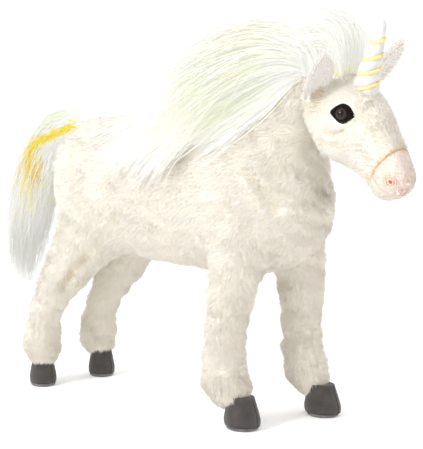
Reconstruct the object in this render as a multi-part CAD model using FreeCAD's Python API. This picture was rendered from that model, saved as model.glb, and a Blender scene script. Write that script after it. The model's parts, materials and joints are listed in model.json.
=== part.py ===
import FreeCAD, Part
import math
import os
from FreeCAD import Matrix, Placement, Rotation, Vector

# Plush unicorn with a posable wire armature, standing on its four hooves. Millimetres, +Z up,
# +X towards the head, +Y the toy's left. The origin is the bottom centre of the whole toy's box.

FRAME_ORIGIN = Vector(13.0, -0.2, 0.0)   # that bottom centre, in the lay-out coordinates used below
COVER = 1.5                             # thickness of the plush backing
SLAB_SIZE = 400.0                       # wider than any piece that it trims
INSIDE_GAP = 0.05                       # between a cover and its filling
JOINT_GAP = 0.5                         # between two bodies that turn against each other
OUTLINE_POINTS = 12                     # points round each oval section

# Trunk: ovals from the rump to the breast, as (x, centre z, half height, half width)
TRUNK = [(-149, 246, 26, 24), (-138, 240, 52, 42), (-110, 233, 68, 53), (-65, 230, 73, 56),
         (-15, 229, 74, 54), (35, 228, 74, 54), (78, 224, 73, 55), (115, 213, 61, 53),
         (145, 208, 50, 45), (160, 207, 36, 34), (168, 206, 20, 20)]
SPINE_WIRE = [(-118, 255), (-90, 262), (38, 262)]
SPINE_RADIUS = 2.0

# Neck: ovals from the ball in the trunk up to the ball in the head, as the trunk's are given
NECK_PIVOT = (88.0, 256.0)
HEAD_PIVOT = (150.0, 328.0)
NECK_BALL = 45.0
HEAD_BALL = 30.0
NECK = [(88, 256, 44, 43), (111, 281, 48, 40), (130, 303, 41, 34), (141, 318, 26, 26)]
NECK_SWEEP = (-17, 24)                  # degrees of nodding that the trunk leaves room for
NECK_WIRE = (8, 86)
NECK_WIRE_RADIUS = 1.75

# Head: ovals along a line that slopes down to the nose, in the head's own plane
HEAD_TURN = -10.0                       # the head is posed turned a little to its right
HEAD_START = (38.0, 326.0)
HEAD_PITCH = -39.0
HEAD = [(-14, 17, 16), (0, 33, 30), (25, 40, 37), (50, 35, 33), (75, 27, 25.5), (95, 23, 21.5),
        (108, 18, 18.5), (115, 9, 10)]
MUZZLE_SEAM = 90.0
HEAD_LINE_REACH = 200.0

HORN_BASE = (80.0, 334.0)
HORN_TIP = (99.0, 400.5)
HORN = [(0, 13.2), (22, 10.4), (44, 6.8), (60, 4.6), (66, 3.9), (69.1, 2.0)]
HORN_SKIN = 1.2
HORN_HOLLOW = 4.5                       # the horn is stuffed where it is wider than this
CORD_RADIUS = 1.3
CORD_PLACES = (9.0, 21.5, 34.0, 49.0)   # the turns of cord, along the horn
CORD_TILT = 12.0

EYE_CENTRE = (79.0, 33.5, 316.0)
EYE_RADIUS = 6.2
EYE_DEPTH = 0.62
EYE_SHANK = (1.6, 11.0)
EYE_WASHER = (6.0, 1.2, 7.0)
EYELID_SIZE = 1.75
EYELID_THICKNESS = 1.0
EYELID_SINK = 0.4
EYE_AIM = (0.25, 1.0, 0.1)              # forward, outward and up

EAR_BASE = (40.0, 30.0, 334.0)
EAR_TIPS = {"right": (72.0, 43.0, 369.0), "left": (78.0, 43.0, 376.0)}
EAR = [(0.0, 5.0, 6.0), (0.22, 7.5, 10.5), (0.5, 8.0, 12.0), (0.78, 6.0, 9.0), (1.0, 3.2, 4.0)]
EAR_OPENING = 1.5
EAR_AIM = (0.8, 0.55, -0.4)             # where the cup opens: forward, outward and down
EAR_WIDEST = 30.0
EAR_FABRIC = 1.6
EAR_LINING = 1.0

NOSTRIL = (107.0, 11.5, 4.8)            # along the head line, to the side, above the line
NOSTRIL_RING = (3.2, 0.8)
NOSTRIL_SPLAY = 0.9                     # how far the rings face outwards
MOUTH = (108.0, 17.5, -7.0)             # along the head line, radius of its arc, below the line
MOUTH_RADIUS = 0.8
MOUTH_SETBACK = 0.35                    # of its arc's radius, behind the place given above
MOUTH_CORNER = 5.0

FORELOCK_BACK = 26.0                    # the tuft starts this far forward of the pivot
FORELOCK = (44.0, 357.0, 30.0, 17.0, 21.0)     # x, z, half length, half width, half height
NECK_MANE = [(28, 318, 14, 12), (52, 334, 27, 20), (82, 349, 34, 24), (112, 360, 38, 25),
             (140, 369, 38, 22), (158, 376, 34, 16)]
MANE_LEAN = -9.0                        # the hair is combed over to the right
MANE_FRONT = 146.0                      # where it stops behind the turning head
HAIR_DEPTH = 10.0                       # of the loose hair that lies on the trunk
WITHERS_MANE = ((-34, -100, 236), (64, 14, 340))       # the corners of the stretch that it covers

# Legs: the hinge, the hip or shoulder disc, then ovals down to the fetlock, as (x, z, half size)
LEG_SIDE = {"front": 43.0, "rear": 38.0}
LEG_HINGE = {"front": (108.0, 190.0), "rear": (-94.0, 202.0)}
LEG_DISC = {"front": (27.0, 20.0, 64.0), "rear": (38.0, 10.0, 63.0)}     # radius, inner y, outer y
LEG_SWEEP = {"front": (-38, 32), "rear": (-58, -2)}
LEG_REACH = 75.0
DISC_ROUNDING = 7.0
LEGS = {
    "front_right": [(106, 180, 24), (97, 160, 24.5), (90, 128, 22.5), (86, 97, 19.5), (84, 68, 21),
                    (88, 46, 22), (97, 28, 19)],
    "front_left": [(110, 180, 24), (114, 160, 24.5), (116, 128, 22.5), (117, 97, 19), (118, 68, 19),
                   (123, 46, 20.5), (130, 28, 18)],
    "rear_right": [(-104, 186, 31), (-116, 165, 30), (-134, 138, 25), (-154, 112, 20), (-170, 86, 16),
                   (-176, 62, 18), (-178, 40, 19), (-177, 31, 17)],
    "rear_left": [(-100, 186, 31), (-108, 165, 30), (-122, 138, 25), (-139, 112, 20), (-155, 86, 16),
                  (-162, 62, 17.5), (-163, 40, 18), (-161, 31, 16.5)],
}
LEG_NARROWING = 0.86                    # a leg is a little thinner from side to side
LEG_WIRE_RADIUS = 1.5
LEG_WIRE_END = 0.7                      # the share of the last stretch that the wire reaches down
CROSS_WIRE_RADIUS = 2.0

# Hooves: suede covers and soles under the fetlocks, as (x at the sole, x at the top, y)
HOOVES = {"front_right": (109, 101, -46.4), "front_left": (143, 134, 46.4),
          "rear_right": (-176, -176, -37.5), "rear_left": (-156, -158, 37.5)}
HOOF_TOP = {"front": 30.0, "rear": 31.0}
HOOF_SIZE = {"front": (18.0, 16.5, 13.5), "rear": (15.5, 14.5, 12.5)}   # long, wide, top half size
HOOF_SKIN = 1.5
HOOF_EDGE = 1.5                         # drawn in at the sole and above the bulge
HOOF_BULGE = 5.0
HOOF_WAIST = 0.6
SOLE = 4.0
SOLE_ROWS = ((0.0, 3.5), (1.5, 2.0), (SOLE, HOOF_EDGE))   # height, drawn in

# Tail: the sewn stump inside, then ovals along the hanging hair, as (x, z, half size)
TAIL_HINGE = (-137.0, 287.0)
TAIL_BALL = 7.5
TAIL_STUMP = [(-137, 287, 6), (-154, 291, 6.5), (-174, 284, 6.5), (-192, 270, 5.5), (-203, 254, 4)]
TAIL_HAIR = [(-153, 292, 9), (-174, 285, 16), (-197, 266, 21), (-215, 231, 23), (-230, 189, 21),
             (-241, 148, 16), (-244, 116, 8)]
TAIL_WIDTH = 0.95
TAIL_CLEARANCE = 5.0                    # between the hair and the rump, for the tail's swing


def along(point, direction, distance):
    """The point at a distance from another in a direction."""
    return point + direction * distance


def in_plane(x, z, y=0.0):
    """A point from its two coordinates in an upright plane that runs fore and aft."""
    return Vector(x, y, z)


def oval_wire(centre, heading, half_height, half_width):
    """A closed oval across heading, which lies in the XZ plane."""
    upward = Vector(-heading.z, 0, heading.x)
    sideways = Vector(0, 1, 0)
    points = []
    for index in range(OUTLINE_POINTS):
        angle = 2 * math.pi * index / OUTLINE_POINTS
        rise = upward * (half_height * math.sin(angle))
        reach = sideways * (half_width * math.cos(angle))
        points.append(centre + rise + reach)
    curve = Part.BSplineCurve()
    curve.interpolate(Points=points, PeriodicFlag=True)
    return Part.Wire([curve.toShape()])


def headings(centres):
    """The direction of the line of centres at each of them."""
    last = len(centres) - 1
    result = []
    for index in range(len(centres)):
        step = centres[min(index + 1, last)] - centres[max(index - 1, 0)]
        flat = Vector(step.x, 0, step.z)
        result.append(flat.normalize())
    return result


def limb(sections, inset=0.0):
    """A smooth solid through ovals (centre, half height, half width), drawn in by inset all round."""
    centres = [section[0] for section in sections]
    lines = headings(centres)
    centres[0] = along(centres[0], lines[0], inset)
    centres[-1] = along(centres[-1], lines[-1], -inset)
    wires = []
    for centre, heading, section in zip(centres, lines, sections):
        wires.append(oval_wire(centre, heading, section[1] - inset, section[2] - inset))
    return Part.makeLoft(wires, True, False)


def rod(points, radius):
    """A bent wire: straight runs with round elbows."""
    pieces = []
    for start, end in zip(points[:-1], points[1:]):
        run = end - start
        pieces.append(Part.makeCylinder(radius, run.Length, start, run))
    for elbow in points[1:-1]:
        pieces.append(Part.makeSphere(radius, elbow))
    return join(pieces)


def join(pieces):
    """One solid from pieces that overlap."""
    if len(pieces) == 1:
        return pieces[0]
    return pieces[0].multiFuse(pieces[1:]).removeSplitter()


def carve(shape, tools):
    """Cuts the tools out of a shape one after another."""
    for tool in tools:
        shape = shape.cut(tool)
    return shape


def ellipsoid(centre, half_sizes, rotation=None):
    """A ball stretched to three half sizes, turned by rotation and moved to centre."""
    stretch = Matrix()
    stretch.scale(Vector(*half_sizes))
    ball = Part.makeSphere(1.0).transformGeometry(stretch)
    ball.Placement = Placement(centre, rotation or Rotation())
    return ball


def slab(centre, heading, depth):
    """A half space: a large square block that starts at centre and runs along heading."""
    block = Part.makeBox(SLAB_SIZE, SLAB_SIZE, depth)
    block.translate(Vector(-SLAB_SIZE / 2, -SLAB_SIZE / 2, 0))
    block.Placement = Placement(centre, Rotation(Vector(0, 0, 1), heading)).multiply(block.Placement)
    return block


def solid_of(shape):
    """The largest solid of a shape, so that a cut that leaves crumbs stays one piece."""
    return max(shape.Solids, key=lambda solid: solid.Volume)


def leg_fan(hinge, side, disc, sweep):
    """The room that a swinging leg needs under its hinge, through the trunk's lower side."""
    radius, inner, _ = disc
    half = radius + JOINT_GAP
    corners = []
    for angle, sign in ((sweep[0], -1), (sweep[1], 1)):
        turn = math.radians(angle)
        down = Vector(math.sin(turn), 0, -math.cos(turn))
        across = Vector(math.cos(turn), 0, math.sin(turn)) * (half * sign)
        pair = [hinge + across, hinge + across + down * LEG_REACH]
        corners += pair if sign < 0 else pair[::-1]
    near = inner - JOINT_GAP
    outline = [Vector(p.x, near, p.z) for p in corners]
    face = Part.Face(Part.makePolygon(outline + outline[:1]))
    fan = face.extrude(Vector(0, LEG_REACH, 0))
    return fan if side > 0 else fan.mirror(Vector(), Vector(0, 1, 0))


def disc_about_hinge(hinge, side, disc, gap=0.0, rounding=0.0):
    radius, inner, outer = disc
    start = Vector(hinge.x, (inner - gap) * side, hinge.z)
    cylinder = Part.makeCylinder(radius + gap, outer - inner + 2 * gap, start, Vector(0, side, 0))
    return cylinder.makeFillet(rounding, cylinder.Edges) if rounding else cylinder


def side_of(name):
    return 1 if name.endswith("left") else -1


def end_of(name):
    return name.split("_")[0]


def leg_room(name):
    """What is cut out of the trunk for one leg."""
    end = end_of(name)
    side = side_of(name)
    hinge = in_plane(*LEG_HINGE[end])
    disc = LEG_DISC[end]
    bore = disc_about_hinge(hinge, side, disc, JOINT_GAP)
    return [bore, leg_fan(hinge, side, disc, LEG_SWEEP[end])]


def cross_wire(end, gap=0.0):
    """The wire between two legs, whose ends are the pins that the legs turn on."""
    hinge = in_plane(*LEG_HINGE[end])
    reach = LEG_SIDE[end] + gap
    start = Vector(hinge.x, -reach, hinge.z)
    return Part.makeCylinder(CROSS_WIRE_RADIUS + gap, 2 * reach, start, Vector(0, 1, 0))


def neck_line():
    pivot = in_plane(*NECK_PIVOT)
    return pivot, (in_plane(*HEAD_PIVOT) - pivot).normalize()


def sections_of(rows, grow=0.0, y=0.0):
    """The ovals (centre, half height, half width) of rows (x, z, half height, half width)."""
    return [(in_plane(x, z, y), up + grow, out + grow) for x, z, up, out in rows]


def neck_form(inset=0.0):
    loft = limb(sections_of(NECK), inset)
    balls = [Part.makeSphere(NECK_BALL - inset, in_plane(*NECK_PIVOT)),
             Part.makeSphere(HEAD_BALL - inset, in_plane(*HEAD_PIVOT))]
    return join([loft] + balls)


def neck_room():
    """What is cut out of the trunk for the neck's ball, and for the neck as it nods."""
    pivot, heading = neck_line()
    ball = Part.makeSphere(NECK_BALL + JOINT_GAP, pivot)
    _, _, up, out = NECK[0]
    half = out + 2 * JOINT_GAP
    reach = half * 3
    across = Vector(-heading.z, 0, heading.x) * (up + 2 * JOINT_GAP)
    corners = []
    for angle, sign in ((NECK_SWEEP[0], 1), (NECK_SWEEP[1], -1)):
        turn = Rotation(Vector(0, 1, 0), angle)
        side_step = turn.multVec(across) * sign
        far = side_step + turn.multVec(heading) * reach
        corners += [pivot + side_step, pivot + far][::sign]
    outline = [Vector(p.x, -half, p.z) for p in corners]
    face = Part.Face(Part.makePolygon(outline + outline[:1]))
    return [ball, face.extrude(Vector(0, 2 * half, 0))]


def make_trunk():
    rooms = sum([leg_room(name) for name in LEGS], neck_room())
    rooms.append(Part.makeSphere(TAIL_BALL + JOINT_GAP, in_plane(*TAIL_HINGE)))
    wires = {end + "_cross_wire": cross_wire(end) for end in LEG_HINGE}
    wires["spine_wire"] = rod([in_plane(x, z) for x, z in SPINE_WIRE], SPINE_RADIUS)
    sections = sections_of(TRUNK)
    cover = carve(limb(sections), [limb(sections, COVER)] + rooms + list(wires.values()))
    core = limb(sections, COVER + INSIDE_GAP)
    filling = carve(core, rooms + list(wires.values()))
    nodes = {"trunk_cover": solid_of(cover), "trunk_filling": solid_of(filling)}
    nodes.update(wires)
    nodes["withers_mane"] = make_withers_mane()
    return nodes


def make_withers_mane():
    """Loose hair that lies over the withers and the right flank, as a layer on the trunk."""
    low, high = (Vector(*corner) for corner in WITHERS_MANE)
    size = high - low
    stretch = Part.makeBox(size.x, size.y, size.z, low)
    layer = limb(sections_of(TRUNK, HAIR_DEPTH)).common(stretch)
    trunk = limb(sections_of(TRUNK, INSIDE_GAP))
    return solid_of(carve(layer, [trunk] + neck_room()))


def make_neck():
    pivot, heading = neck_line()
    wire = rod([along(pivot, heading, s) for s in NECK_WIRE], NECK_WIRE_RADIUS)
    outer = neck_form()
    cover = outer.cut(neck_form(COVER))
    filling = neck_form(COVER + INSIDE_GAP).cut(wire)
    return {"neck_cover": cover, "neck_filling": filling, "neck_wire": wire,
            "neck_mane": make_neck_mane(outer)}


def make_neck_mane(neck):
    """The mane along the crest of the neck: a thick soft ridge of long hair."""
    hair = limb(sections_of(NECK_MANE, y=MANE_LEAN))
    ahead = slab(in_plane(MANE_FRONT, NECK_MANE[-1][1]), Vector(1, 0, 0), HEAD_LINE_REACH)
    trunk_room = limb(sections_of(TRUNK, HAIR_DEPTH + JOINT_GAP))
    return solid_of(carve(hair, [neck, trunk_room, turned_about_neck(trunk_room), ahead]))


def turned_about_neck(shape):
    """A trunk shape as the neck's pieces meet it when the neck is raised all the way."""
    turned = shape.copy()
    turned.rotate(in_plane(*NECK_PIVOT), Vector(0, 1, 0), -NECK_SWEEP[0])
    return turned


def head_line():
    start = in_plane(HEAD_PIVOT[0] + HEAD_START[0], HEAD_START[1])
    pitch = math.radians(HEAD_PITCH)
    return start, Vector(math.cos(pitch), 0, math.sin(pitch))


def head_sections():
    start, heading = head_line()
    return [(along(start, heading, s), up, out) for s, up, out in HEAD]


def head_point(x, y, z):
    """A point given from the head's pivot forward, to the side, and at its true height."""
    return Vector(HEAD_PIVOT[0] + x, y, z)


def turn_head(shape):
    """Turns a head piece about the upright line through the head's pivot, to its posed place."""
    turned = shape.copy()
    turned.rotate(in_plane(*HEAD_PIVOT), Vector(0, 0, 1), HEAD_TURN)
    return turned


def make_eye(side):
    """A domed plastic eye with its shank, and the washer that grips it behind the cover."""
    centre = head_point(EYE_CENTRE[0], EYE_CENTRE[1] * side, EYE_CENTRE[2])
    outward = Vector(EYE_AIM[0], EYE_AIM[1] * side, EYE_AIM[2]).normalize()
    aim = Rotation(Vector(0, 0, 1), outward)
    dome = ellipsoid(centre, (EYE_RADIUS, EYE_RADIUS, EYE_RADIUS * EYE_DEPTH), aim)
    dome = dome.common(slab(centre, outward, EYE_RADIUS))
    shank = Part.makeCylinder(EYE_SHANK[0], EYE_SHANK[1] + 1, centre + outward, outward * -1)
    radius, thickness, depth = EYE_WASHER
    washer = Part.makeCylinder(radius, thickness, centre - outward * depth, outward * -1)
    lid = Part.makeCylinder(EYE_RADIUS + EYELID_SIZE, EYELID_THICKNESS,
                            centre - outward * EYELID_SINK, outward)
    eye = join([dome, shank])
    return eye, washer.cut(shank), lid.cut(eye)


def make_ear(side_name):
    """A cupped ear: plush outside, smooth lining inside, open to the front."""
    side = side_of(side_name)
    x, y, z = EAR_TIPS[side_name]
    base = head_point(EAR_BASE[0], EAR_BASE[1] * side, EAR_BASE[2])
    tip = head_point(x, y * side, z)
    upward = (tip - base).normalize()
    opening = Vector(EAR_AIM[0], EAR_AIM[1] * side, EAR_AIM[2])
    opening = (opening - upward * opening.dot(upward)).normalize()
    across = upward.cross(opening)
    place = Placement(base, Rotation(opening, across, upward, "ZXY"))
    length = (tip - base).Length

    def cup(inset):
        form = limb([(Vector(0, 0, share * length), deep, wide) for share, deep, wide in EAR], inset)
        form.Placement = place
        return form

    front = slab(base + opening * EAR_OPENING, opening, EAR_WIDEST)
    outer = carve(cup(0), [cup(EAR_FABRIC), front])
    lining = carve(cup(EAR_FABRIC + INSIDE_GAP), [cup(EAR_FABRIC + EAR_LINING), front])
    return solid_of(outer), solid_of(lining)


def make_horn(head):
    """A tapering stuffed horn with a cord wound round it in sunken turns."""
    base = head_point(HORN_BASE[0], 0, HORN_BASE[1])
    tip = head_point(HORN_TIP[0], 0, HORN_TIP[1])
    heading = (tip - base).normalize()
    lean = Rotation(Vector(0, 1, 0), CORD_TILT).multVec(heading)
    turns = []
    for s in CORD_PLACES:
        turns.append(Part.makeTorus(horn_radius(s), CORD_RADIUS, along(base, heading, s), lean))
    outer = turned_solid(HORN, base, heading)
    wall = HORN_SKIN + CORD_RADIUS
    inner = turned_solid([(s, r - wall) for s, r in HORN if r > HORN_HOLLOW], base, heading)
    cord = Part.makeCompound([solid_of(turn.cut(head)) for turn in turns])
    cover = solid_of(carve(outer, [inner, head] + turns))
    filling = solid_of(carve(inner, [head] + turns))
    return cover, filling, cord


def turned_solid(profile, base, heading):
    """The round solid of a profile (distance along the axis, radius) on an axis from base."""
    ends = [(profile[0][0], 0.0)] + profile + [(profile[-1][0], 0.0)]
    outline = [Vector(radius, 0, place) for place, radius in ends]
    face = Part.Face(Part.makePolygon(outline + outline[:1]))
    solid = face.revolve(Vector(), Vector(0, 0, 1), 360)
    solid.Placement = Placement(base, Rotation(Vector(0, 0, 1), heading))
    return solid


def horn_radius(place):
    """The horn's radius at a distance along it, between its listed ovals."""
    for (start, wide), (end, narrow) in zip(HORN[:-1], HORN[1:]):
        if start <= place <= end:
            return wide + (narrow - wide) * (place - start) / (end - start)
    return HORN[-1][1]


def make_stitches():
    """The sewn nostrils and the mouth line, on the muzzle."""
    start, heading = head_line()
    upward = Vector(-heading.z, 0, heading.x)
    s, out, up = NOSTRIL
    rings = []
    for side in (1, -1):
        centre = along(start, heading, s) + upward * up + Vector(0, out * side, 0)
        face = (heading + Vector(0, side * NOSTRIL_SPLAY, 0)).normalize()
        rings.append(Part.makeTorus(NOSTRIL_RING[0], NOSTRIL_RING[1], centre, face))
    s, radius, up = MOUTH
    centre = along(start, heading, s - radius * MOUTH_SETBACK) + upward * up
    mouth = Part.makeTorus(radius, MOUTH_RADIUS, centre, upward)
    mouth = mouth.common(slab(centre + heading * MOUTH_CORNER, heading, 2 * radius))
    return Part.makeCompound(rings), solid_of(mouth)


def make_head():
    start, heading = head_line()
    seam = along(start, heading, MUZZLE_SEAM)
    muzzle_side = slab(seam, heading, HEAD_LINE_REACH)
    neck_side = Part.makeSphere(HEAD_BALL + JOINT_GAP, in_plane(*HEAD_PIVOT))
    outer = limb(head_sections())
    skin = carve(outer, [limb(head_sections(), COVER), neck_side])
    core = limb(head_sections(), COVER + INSIDE_GAP).cut(neck_side)
    nodes = {}
    inserts = []
    for side_name, side in (("left", 1), ("right", -1)):
        eye, washer, lid = make_eye(side)
        ear, lining = make_ear(side_name)
        nodes["eye_" + side_name] = eye
        nodes["eye_washer_" + side_name] = washer
        nodes["eyelid_" + side_name] = solid_of(lid.cut(outer))
        nodes["ear_" + side_name] = solid_of(ear.cut(outer))
        nodes["ear_lining_" + side_name] = solid_of(lining.cut(outer))
        inserts += [eye, washer]
    nodes["horn_cover"], nodes["horn_filling"], nodes["horn_cord"] = make_horn(outer)
    nodes["nostril_stitches"], nodes["mouth_stitch"] = make_stitches()
    stitches = [nodes["nostril_stitches"], nodes["mouth_stitch"]]
    nodes["head_cover"] = solid_of(carve(skin, [muzzle_side] + inserts))
    nodes["muzzle_cover"] = solid_of(carve(skin.common(muzzle_side), stitches))
    nodes["head_filling"] = solid_of(carve(core, inserts + stitches))
    blockers = [outer, nodes["ear_left"], nodes["ear_right"], nodes["horn_cover"],
                nodes["ear_lining_left"], nodes["ear_lining_right"], nodes["horn_cord"],
                nodes["horn_filling"]]
    nodes["forelock"] = make_forelock(blockers)
    return {name: turn_head(shape) for name, shape in nodes.items()}


def make_forelock(blockers):
    """The tuft between the ears, behind the horn."""
    x, z, length, width, height = FORELOCK
    tuft = ellipsoid(head_point(x, 0, z), (length, width, height))
    neck_side = Part.makeSphere(HEAD_BALL + JOINT_GAP, in_plane(*HEAD_PIVOT))
    behind = slab(head_point(FORELOCK_BACK, 0, z), Vector(-1, 0, 0), 2 * length)
    return solid_of(carve(tuft, blockers + [neck_side, behind]))


def leg_sections(name):
    """The leg's ovals, from the hinge's height to the fetlock, drifting sideways to the hoof."""
    top_y = LEG_SIDE[end_of(name)] * side_of(name)
    hoof_y = HOOVES[name][2]
    rows = LEGS[name]
    span = rows[0][1] - rows[-1][1]
    sections = []
    for x, z, half in rows:
        share = (rows[0][1] - z) / span
        y = top_y + (hoof_y - top_y) * share
        sections.append((in_plane(x, z, y), half, half * LEG_NARROWING))
    return sections


def leg_form(name, inset=0.0):
    end = end_of(name)
    side = side_of(name)
    radius, inner, outer = LEG_DISC[end]
    disc = (radius - inset, inner + inset, outer - inset)
    knuckle = disc_about_hinge(in_plane(*LEG_HINGE[end]), side, disc, 0.0, DISC_ROUNDING - inset)
    return join([limb(leg_sections(name), inset), knuckle])


def hoof_form(name, inset=0.0, bottom=SOLE):
    """A hoof, wider and longer at the sole than at the fetlock."""
    sole_x, top_x, y = HOOVES[name]
    long, wide, top = HOOF_SIZE[end_of(name)]
    height = HOOF_TOP[end_of(name)]
    rows = [(sole_x, bottom, long - HOOF_EDGE, wide - HOOF_EDGE),
            (sole_x, bottom + HOOF_BULGE, long, wide),
            ((sole_x + top_x) / 2, height * HOOF_WAIST, long - HOOF_EDGE, wide - HOOF_EDGE),
            (top_x, height, top, top)]
    wires = []
    for x, z, half_long, half_wide in rows:
        wires.append(oval_wire(Vector(x, y, z), Vector(0, 0, 1), half_long - inset, half_wide - inset))
    return Part.makeLoft(wires, True, False)


def make_leg(name):
    end = end_of(name)
    hinge_hole = cross_wire(end, JOINT_GAP)
    centres = [section[0] for section in leg_sections(name)]
    ankle = centres[-2] + (centres[-1] - centres[-2]) * LEG_WIRE_END
    wire = rod(centres[:-1] + [ankle], LEG_WIRE_RADIUS)
    outer = leg_form(name)
    hoof_outer = hoof_form(name)
    hoof_inner = hoof_form(name, HOOF_SKIN, SOLE - 1).cut(leg_form(name))
    sole_x, _, y = HOOVES[name]
    long, wide, _ = HOOF_SIZE[end]
    sole_wires = [oval_wire(Vector(sole_x, y, z), Vector(0, 0, 1), long - drawn, wide - drawn)
                  for z, drawn in SOLE_ROWS]
    return {
        name + "_leg_cover": carve(outer, [leg_form(name, COVER), hinge_hole]),
        name + "_leg_filling": solid_of(carve(leg_form(name, COVER + INSIDE_GAP), [wire, hinge_hole])),
        name + "_leg_wire": wire,
        name + "_hoof": solid_of(carve(hoof_outer, [hoof_inner, outer])),
        name + "_sole": Part.makeLoft(sole_wires, True, False),
    }


def make_tail():
    """The sewn stump that carries the tail, and the long hair round and below it."""
    stump = limb([(in_plane(x, z), half, half) for x, z, half in TAIL_STUMP])
    hair = limb([(in_plane(x, z), half, half * TAIL_WIDTH) for x, z, half in TAIL_HAIR])
    ball = Part.makeSphere(TAIL_BALL, in_plane(*TAIL_HINGE))
    stump = join([stump, ball])
    return {"tail_stump": stump,
            "tail_hair": solid_of(carve(hair, [stump, limb(sections_of(TRUNK, TAIL_CLEARANCE))]))}


def main():
    os.makedirs("parts", exist_ok=True)
    nodes = {}
    nodes.update(make_trunk())
    nodes.update(make_neck())
    nodes.update(make_head())
    for name in LEGS:
        nodes.update(make_leg(name))
    nodes.update(make_tail())
    box = FreeCAD.BoundBox()
    for name, shape in nodes.items():
        placed = shape.copy()
        placed.translate(FRAME_ORIGIN * -1)
        placed.exportStep("parts/" + name + ".step")
        box.add(placed.BoundBox)
        print(name, "solids", len(placed.Solids), "valid", placed.isValid(), round(placed.Volume))
    print("box", [round(v, 2) for v in (box.XMin, box.XMax, box.YMin, box.YMax, box.ZMin, box.ZMax)])


if __name__ == '__main__':
    main()
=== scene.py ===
"""Looks of the plush unicorn: sewn skins, combed pile, long hair, suede hooves, horn and face."""
import json
import math

import bpy
import numpy as np
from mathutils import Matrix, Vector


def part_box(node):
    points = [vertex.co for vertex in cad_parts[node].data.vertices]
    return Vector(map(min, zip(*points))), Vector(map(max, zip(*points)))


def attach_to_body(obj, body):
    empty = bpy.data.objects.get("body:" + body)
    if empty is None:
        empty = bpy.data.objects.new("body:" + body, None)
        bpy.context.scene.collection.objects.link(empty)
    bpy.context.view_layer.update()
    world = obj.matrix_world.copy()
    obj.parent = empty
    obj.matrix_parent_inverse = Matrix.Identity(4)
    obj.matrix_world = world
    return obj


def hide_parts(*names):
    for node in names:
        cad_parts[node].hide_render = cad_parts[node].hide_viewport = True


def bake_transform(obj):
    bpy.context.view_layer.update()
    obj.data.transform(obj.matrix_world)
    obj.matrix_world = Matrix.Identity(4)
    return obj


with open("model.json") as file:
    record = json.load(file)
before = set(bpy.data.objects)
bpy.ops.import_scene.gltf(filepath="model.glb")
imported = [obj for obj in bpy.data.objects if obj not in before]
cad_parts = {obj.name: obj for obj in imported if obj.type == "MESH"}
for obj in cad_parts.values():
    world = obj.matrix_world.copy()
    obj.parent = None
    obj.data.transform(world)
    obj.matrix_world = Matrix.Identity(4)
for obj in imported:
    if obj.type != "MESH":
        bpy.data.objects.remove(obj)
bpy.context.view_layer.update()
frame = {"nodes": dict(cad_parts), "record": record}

import openvdb
from mathutils import Vector

SEED = 7
MM = 0.001
JOINTS = {joint["name"]: joint for joint in frame["record"]["behaviour"]["joints"]}
# Every place below is in the toy's own lay-out, in millimetres. The lay-out hangs on two joints.
NECK_HINGE = np.array([88.0, 0.0, 256.0])
HEAD_PIVOT = np.array([150.0, 0.0, 328.0])
LAYOUT = np.array(JOINTS["neck_bend"]["pos_m"]) / MM - NECK_HINGE
HEAD_TURN = math.radians(-10.0)
SIDES = {"right": -1.0, "left": 1.0}
LEGS = ("front_right", "front_left", "rear_right", "rear_left")


def both_lumps(centre, radii):
    """The same lump on both sides of the toy."""
    x, y, z = centre
    return [((x, y, z), radii), ((x, -y, z), radii)]


def both_creases(line, depth, width):
    """The same crease on both sides of the toy."""
    return [([(x, y * sign, z) for x, y, z in line], depth, width) for sign in SIDES.values()]


# ---- The stuffed form under the pile. Rows are (x, y, z, half height, half width).
BODY_VOXEL = 3.0
HEAD_VOXEL = 2.0
BODY_ROOM = ((-205.0, -78.0, 22.0), (190.0, 78.0, 372.0))
HEAD_ROOM = ((150.0, -75.0, 225.0), (300.0, 45.0, 370.0))
TRUNK = [(-122, 0, 240, 44, 34), (-108, 0, 235, 62, 46), (-65, 0, 229, 68, 50), (-15, 0, 228, 71, 50),
         (35, 0, 228, 72, 51), (78, 0, 224, 71, 51), (112, 0, 221, 61, 48), (130, 0, 218, 38, 38)]
NECK = [(80, 0, 253, 46, 43), (104, 0, 277, 47, 38), (125, 0, 300, 42, 31), (147, 0, 324, 31, 26)]
LEG_ROWS = {
    "front_right": [(104, -38, 196, 28, 22), (97, -42, 160, 24, 20), (90, -43, 128, 20.5, 18),
                    (86, -44, 97, 17.5, 16), (84, -45, 68, 18.5, 17), (87, -46, 48, 20, 18),
                    (93, -46, 39, 18, 16)],
    "front_left": [(112, 38, 196, 28, 22), (115, 42, 160, 24, 20), (117, 43, 128, 20.5, 18),
                   (117, 44, 97, 17, 16), (118, 45, 68, 17, 16), (122, 46, 48, 18.5, 17),
                   (126, 46, 39, 17, 15)],
    "rear_right": [(-98, -31, 214, 40, 26), (-116, -36, 165, 30, 22), (-133, -40, 138, 24, 19),
                   (-153, -40, 112, 18, 16), (-169, -39, 86, 14.5, 14), (-175, -38, 62, 16, 15),
                   (-177, -38, 46, 17.5, 16), (-176, -38, 39, 15.5, 15)],
    "rear_left": [(-96, 31, 214, 40, 26), (-108, 36, 165, 30, 22), (-121, 38, 138, 24, 19),
                  (-139, 38, 112, 18, 16), (-154, 38, 86, 14.5, 14), (-161, 38, 62, 16, 15),
                  (-162, 38, 46, 17, 16), (-160, 38, 39, 15, 14)],
}
BODY_LUMPS = [*both_lumps((106, 33, 214), (34, 21, 44)), *both_lumps((-98, 27, 212), (48, 27, 58)),
              ((134, 0, 224), (22, 33, 44))]
CREASES = [([(-50, -54, 202), (-60, -56, 180), (-88, -54, 160), (-113, -52, 138), (-132, -50, 117)], 8, 5),
           ([(-50, 54, 202), (-60, 56, 180), (-88, 54, 160), (-110, 52, 138), (-122, 50, 117)], 8, 5),
           *both_creases([(119, 50, 257), (136, 50, 240), (150, 44, 222)], 7, 4)]
BODY_BLEND = 14.0
FACE_BLEND = 7.0
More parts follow.
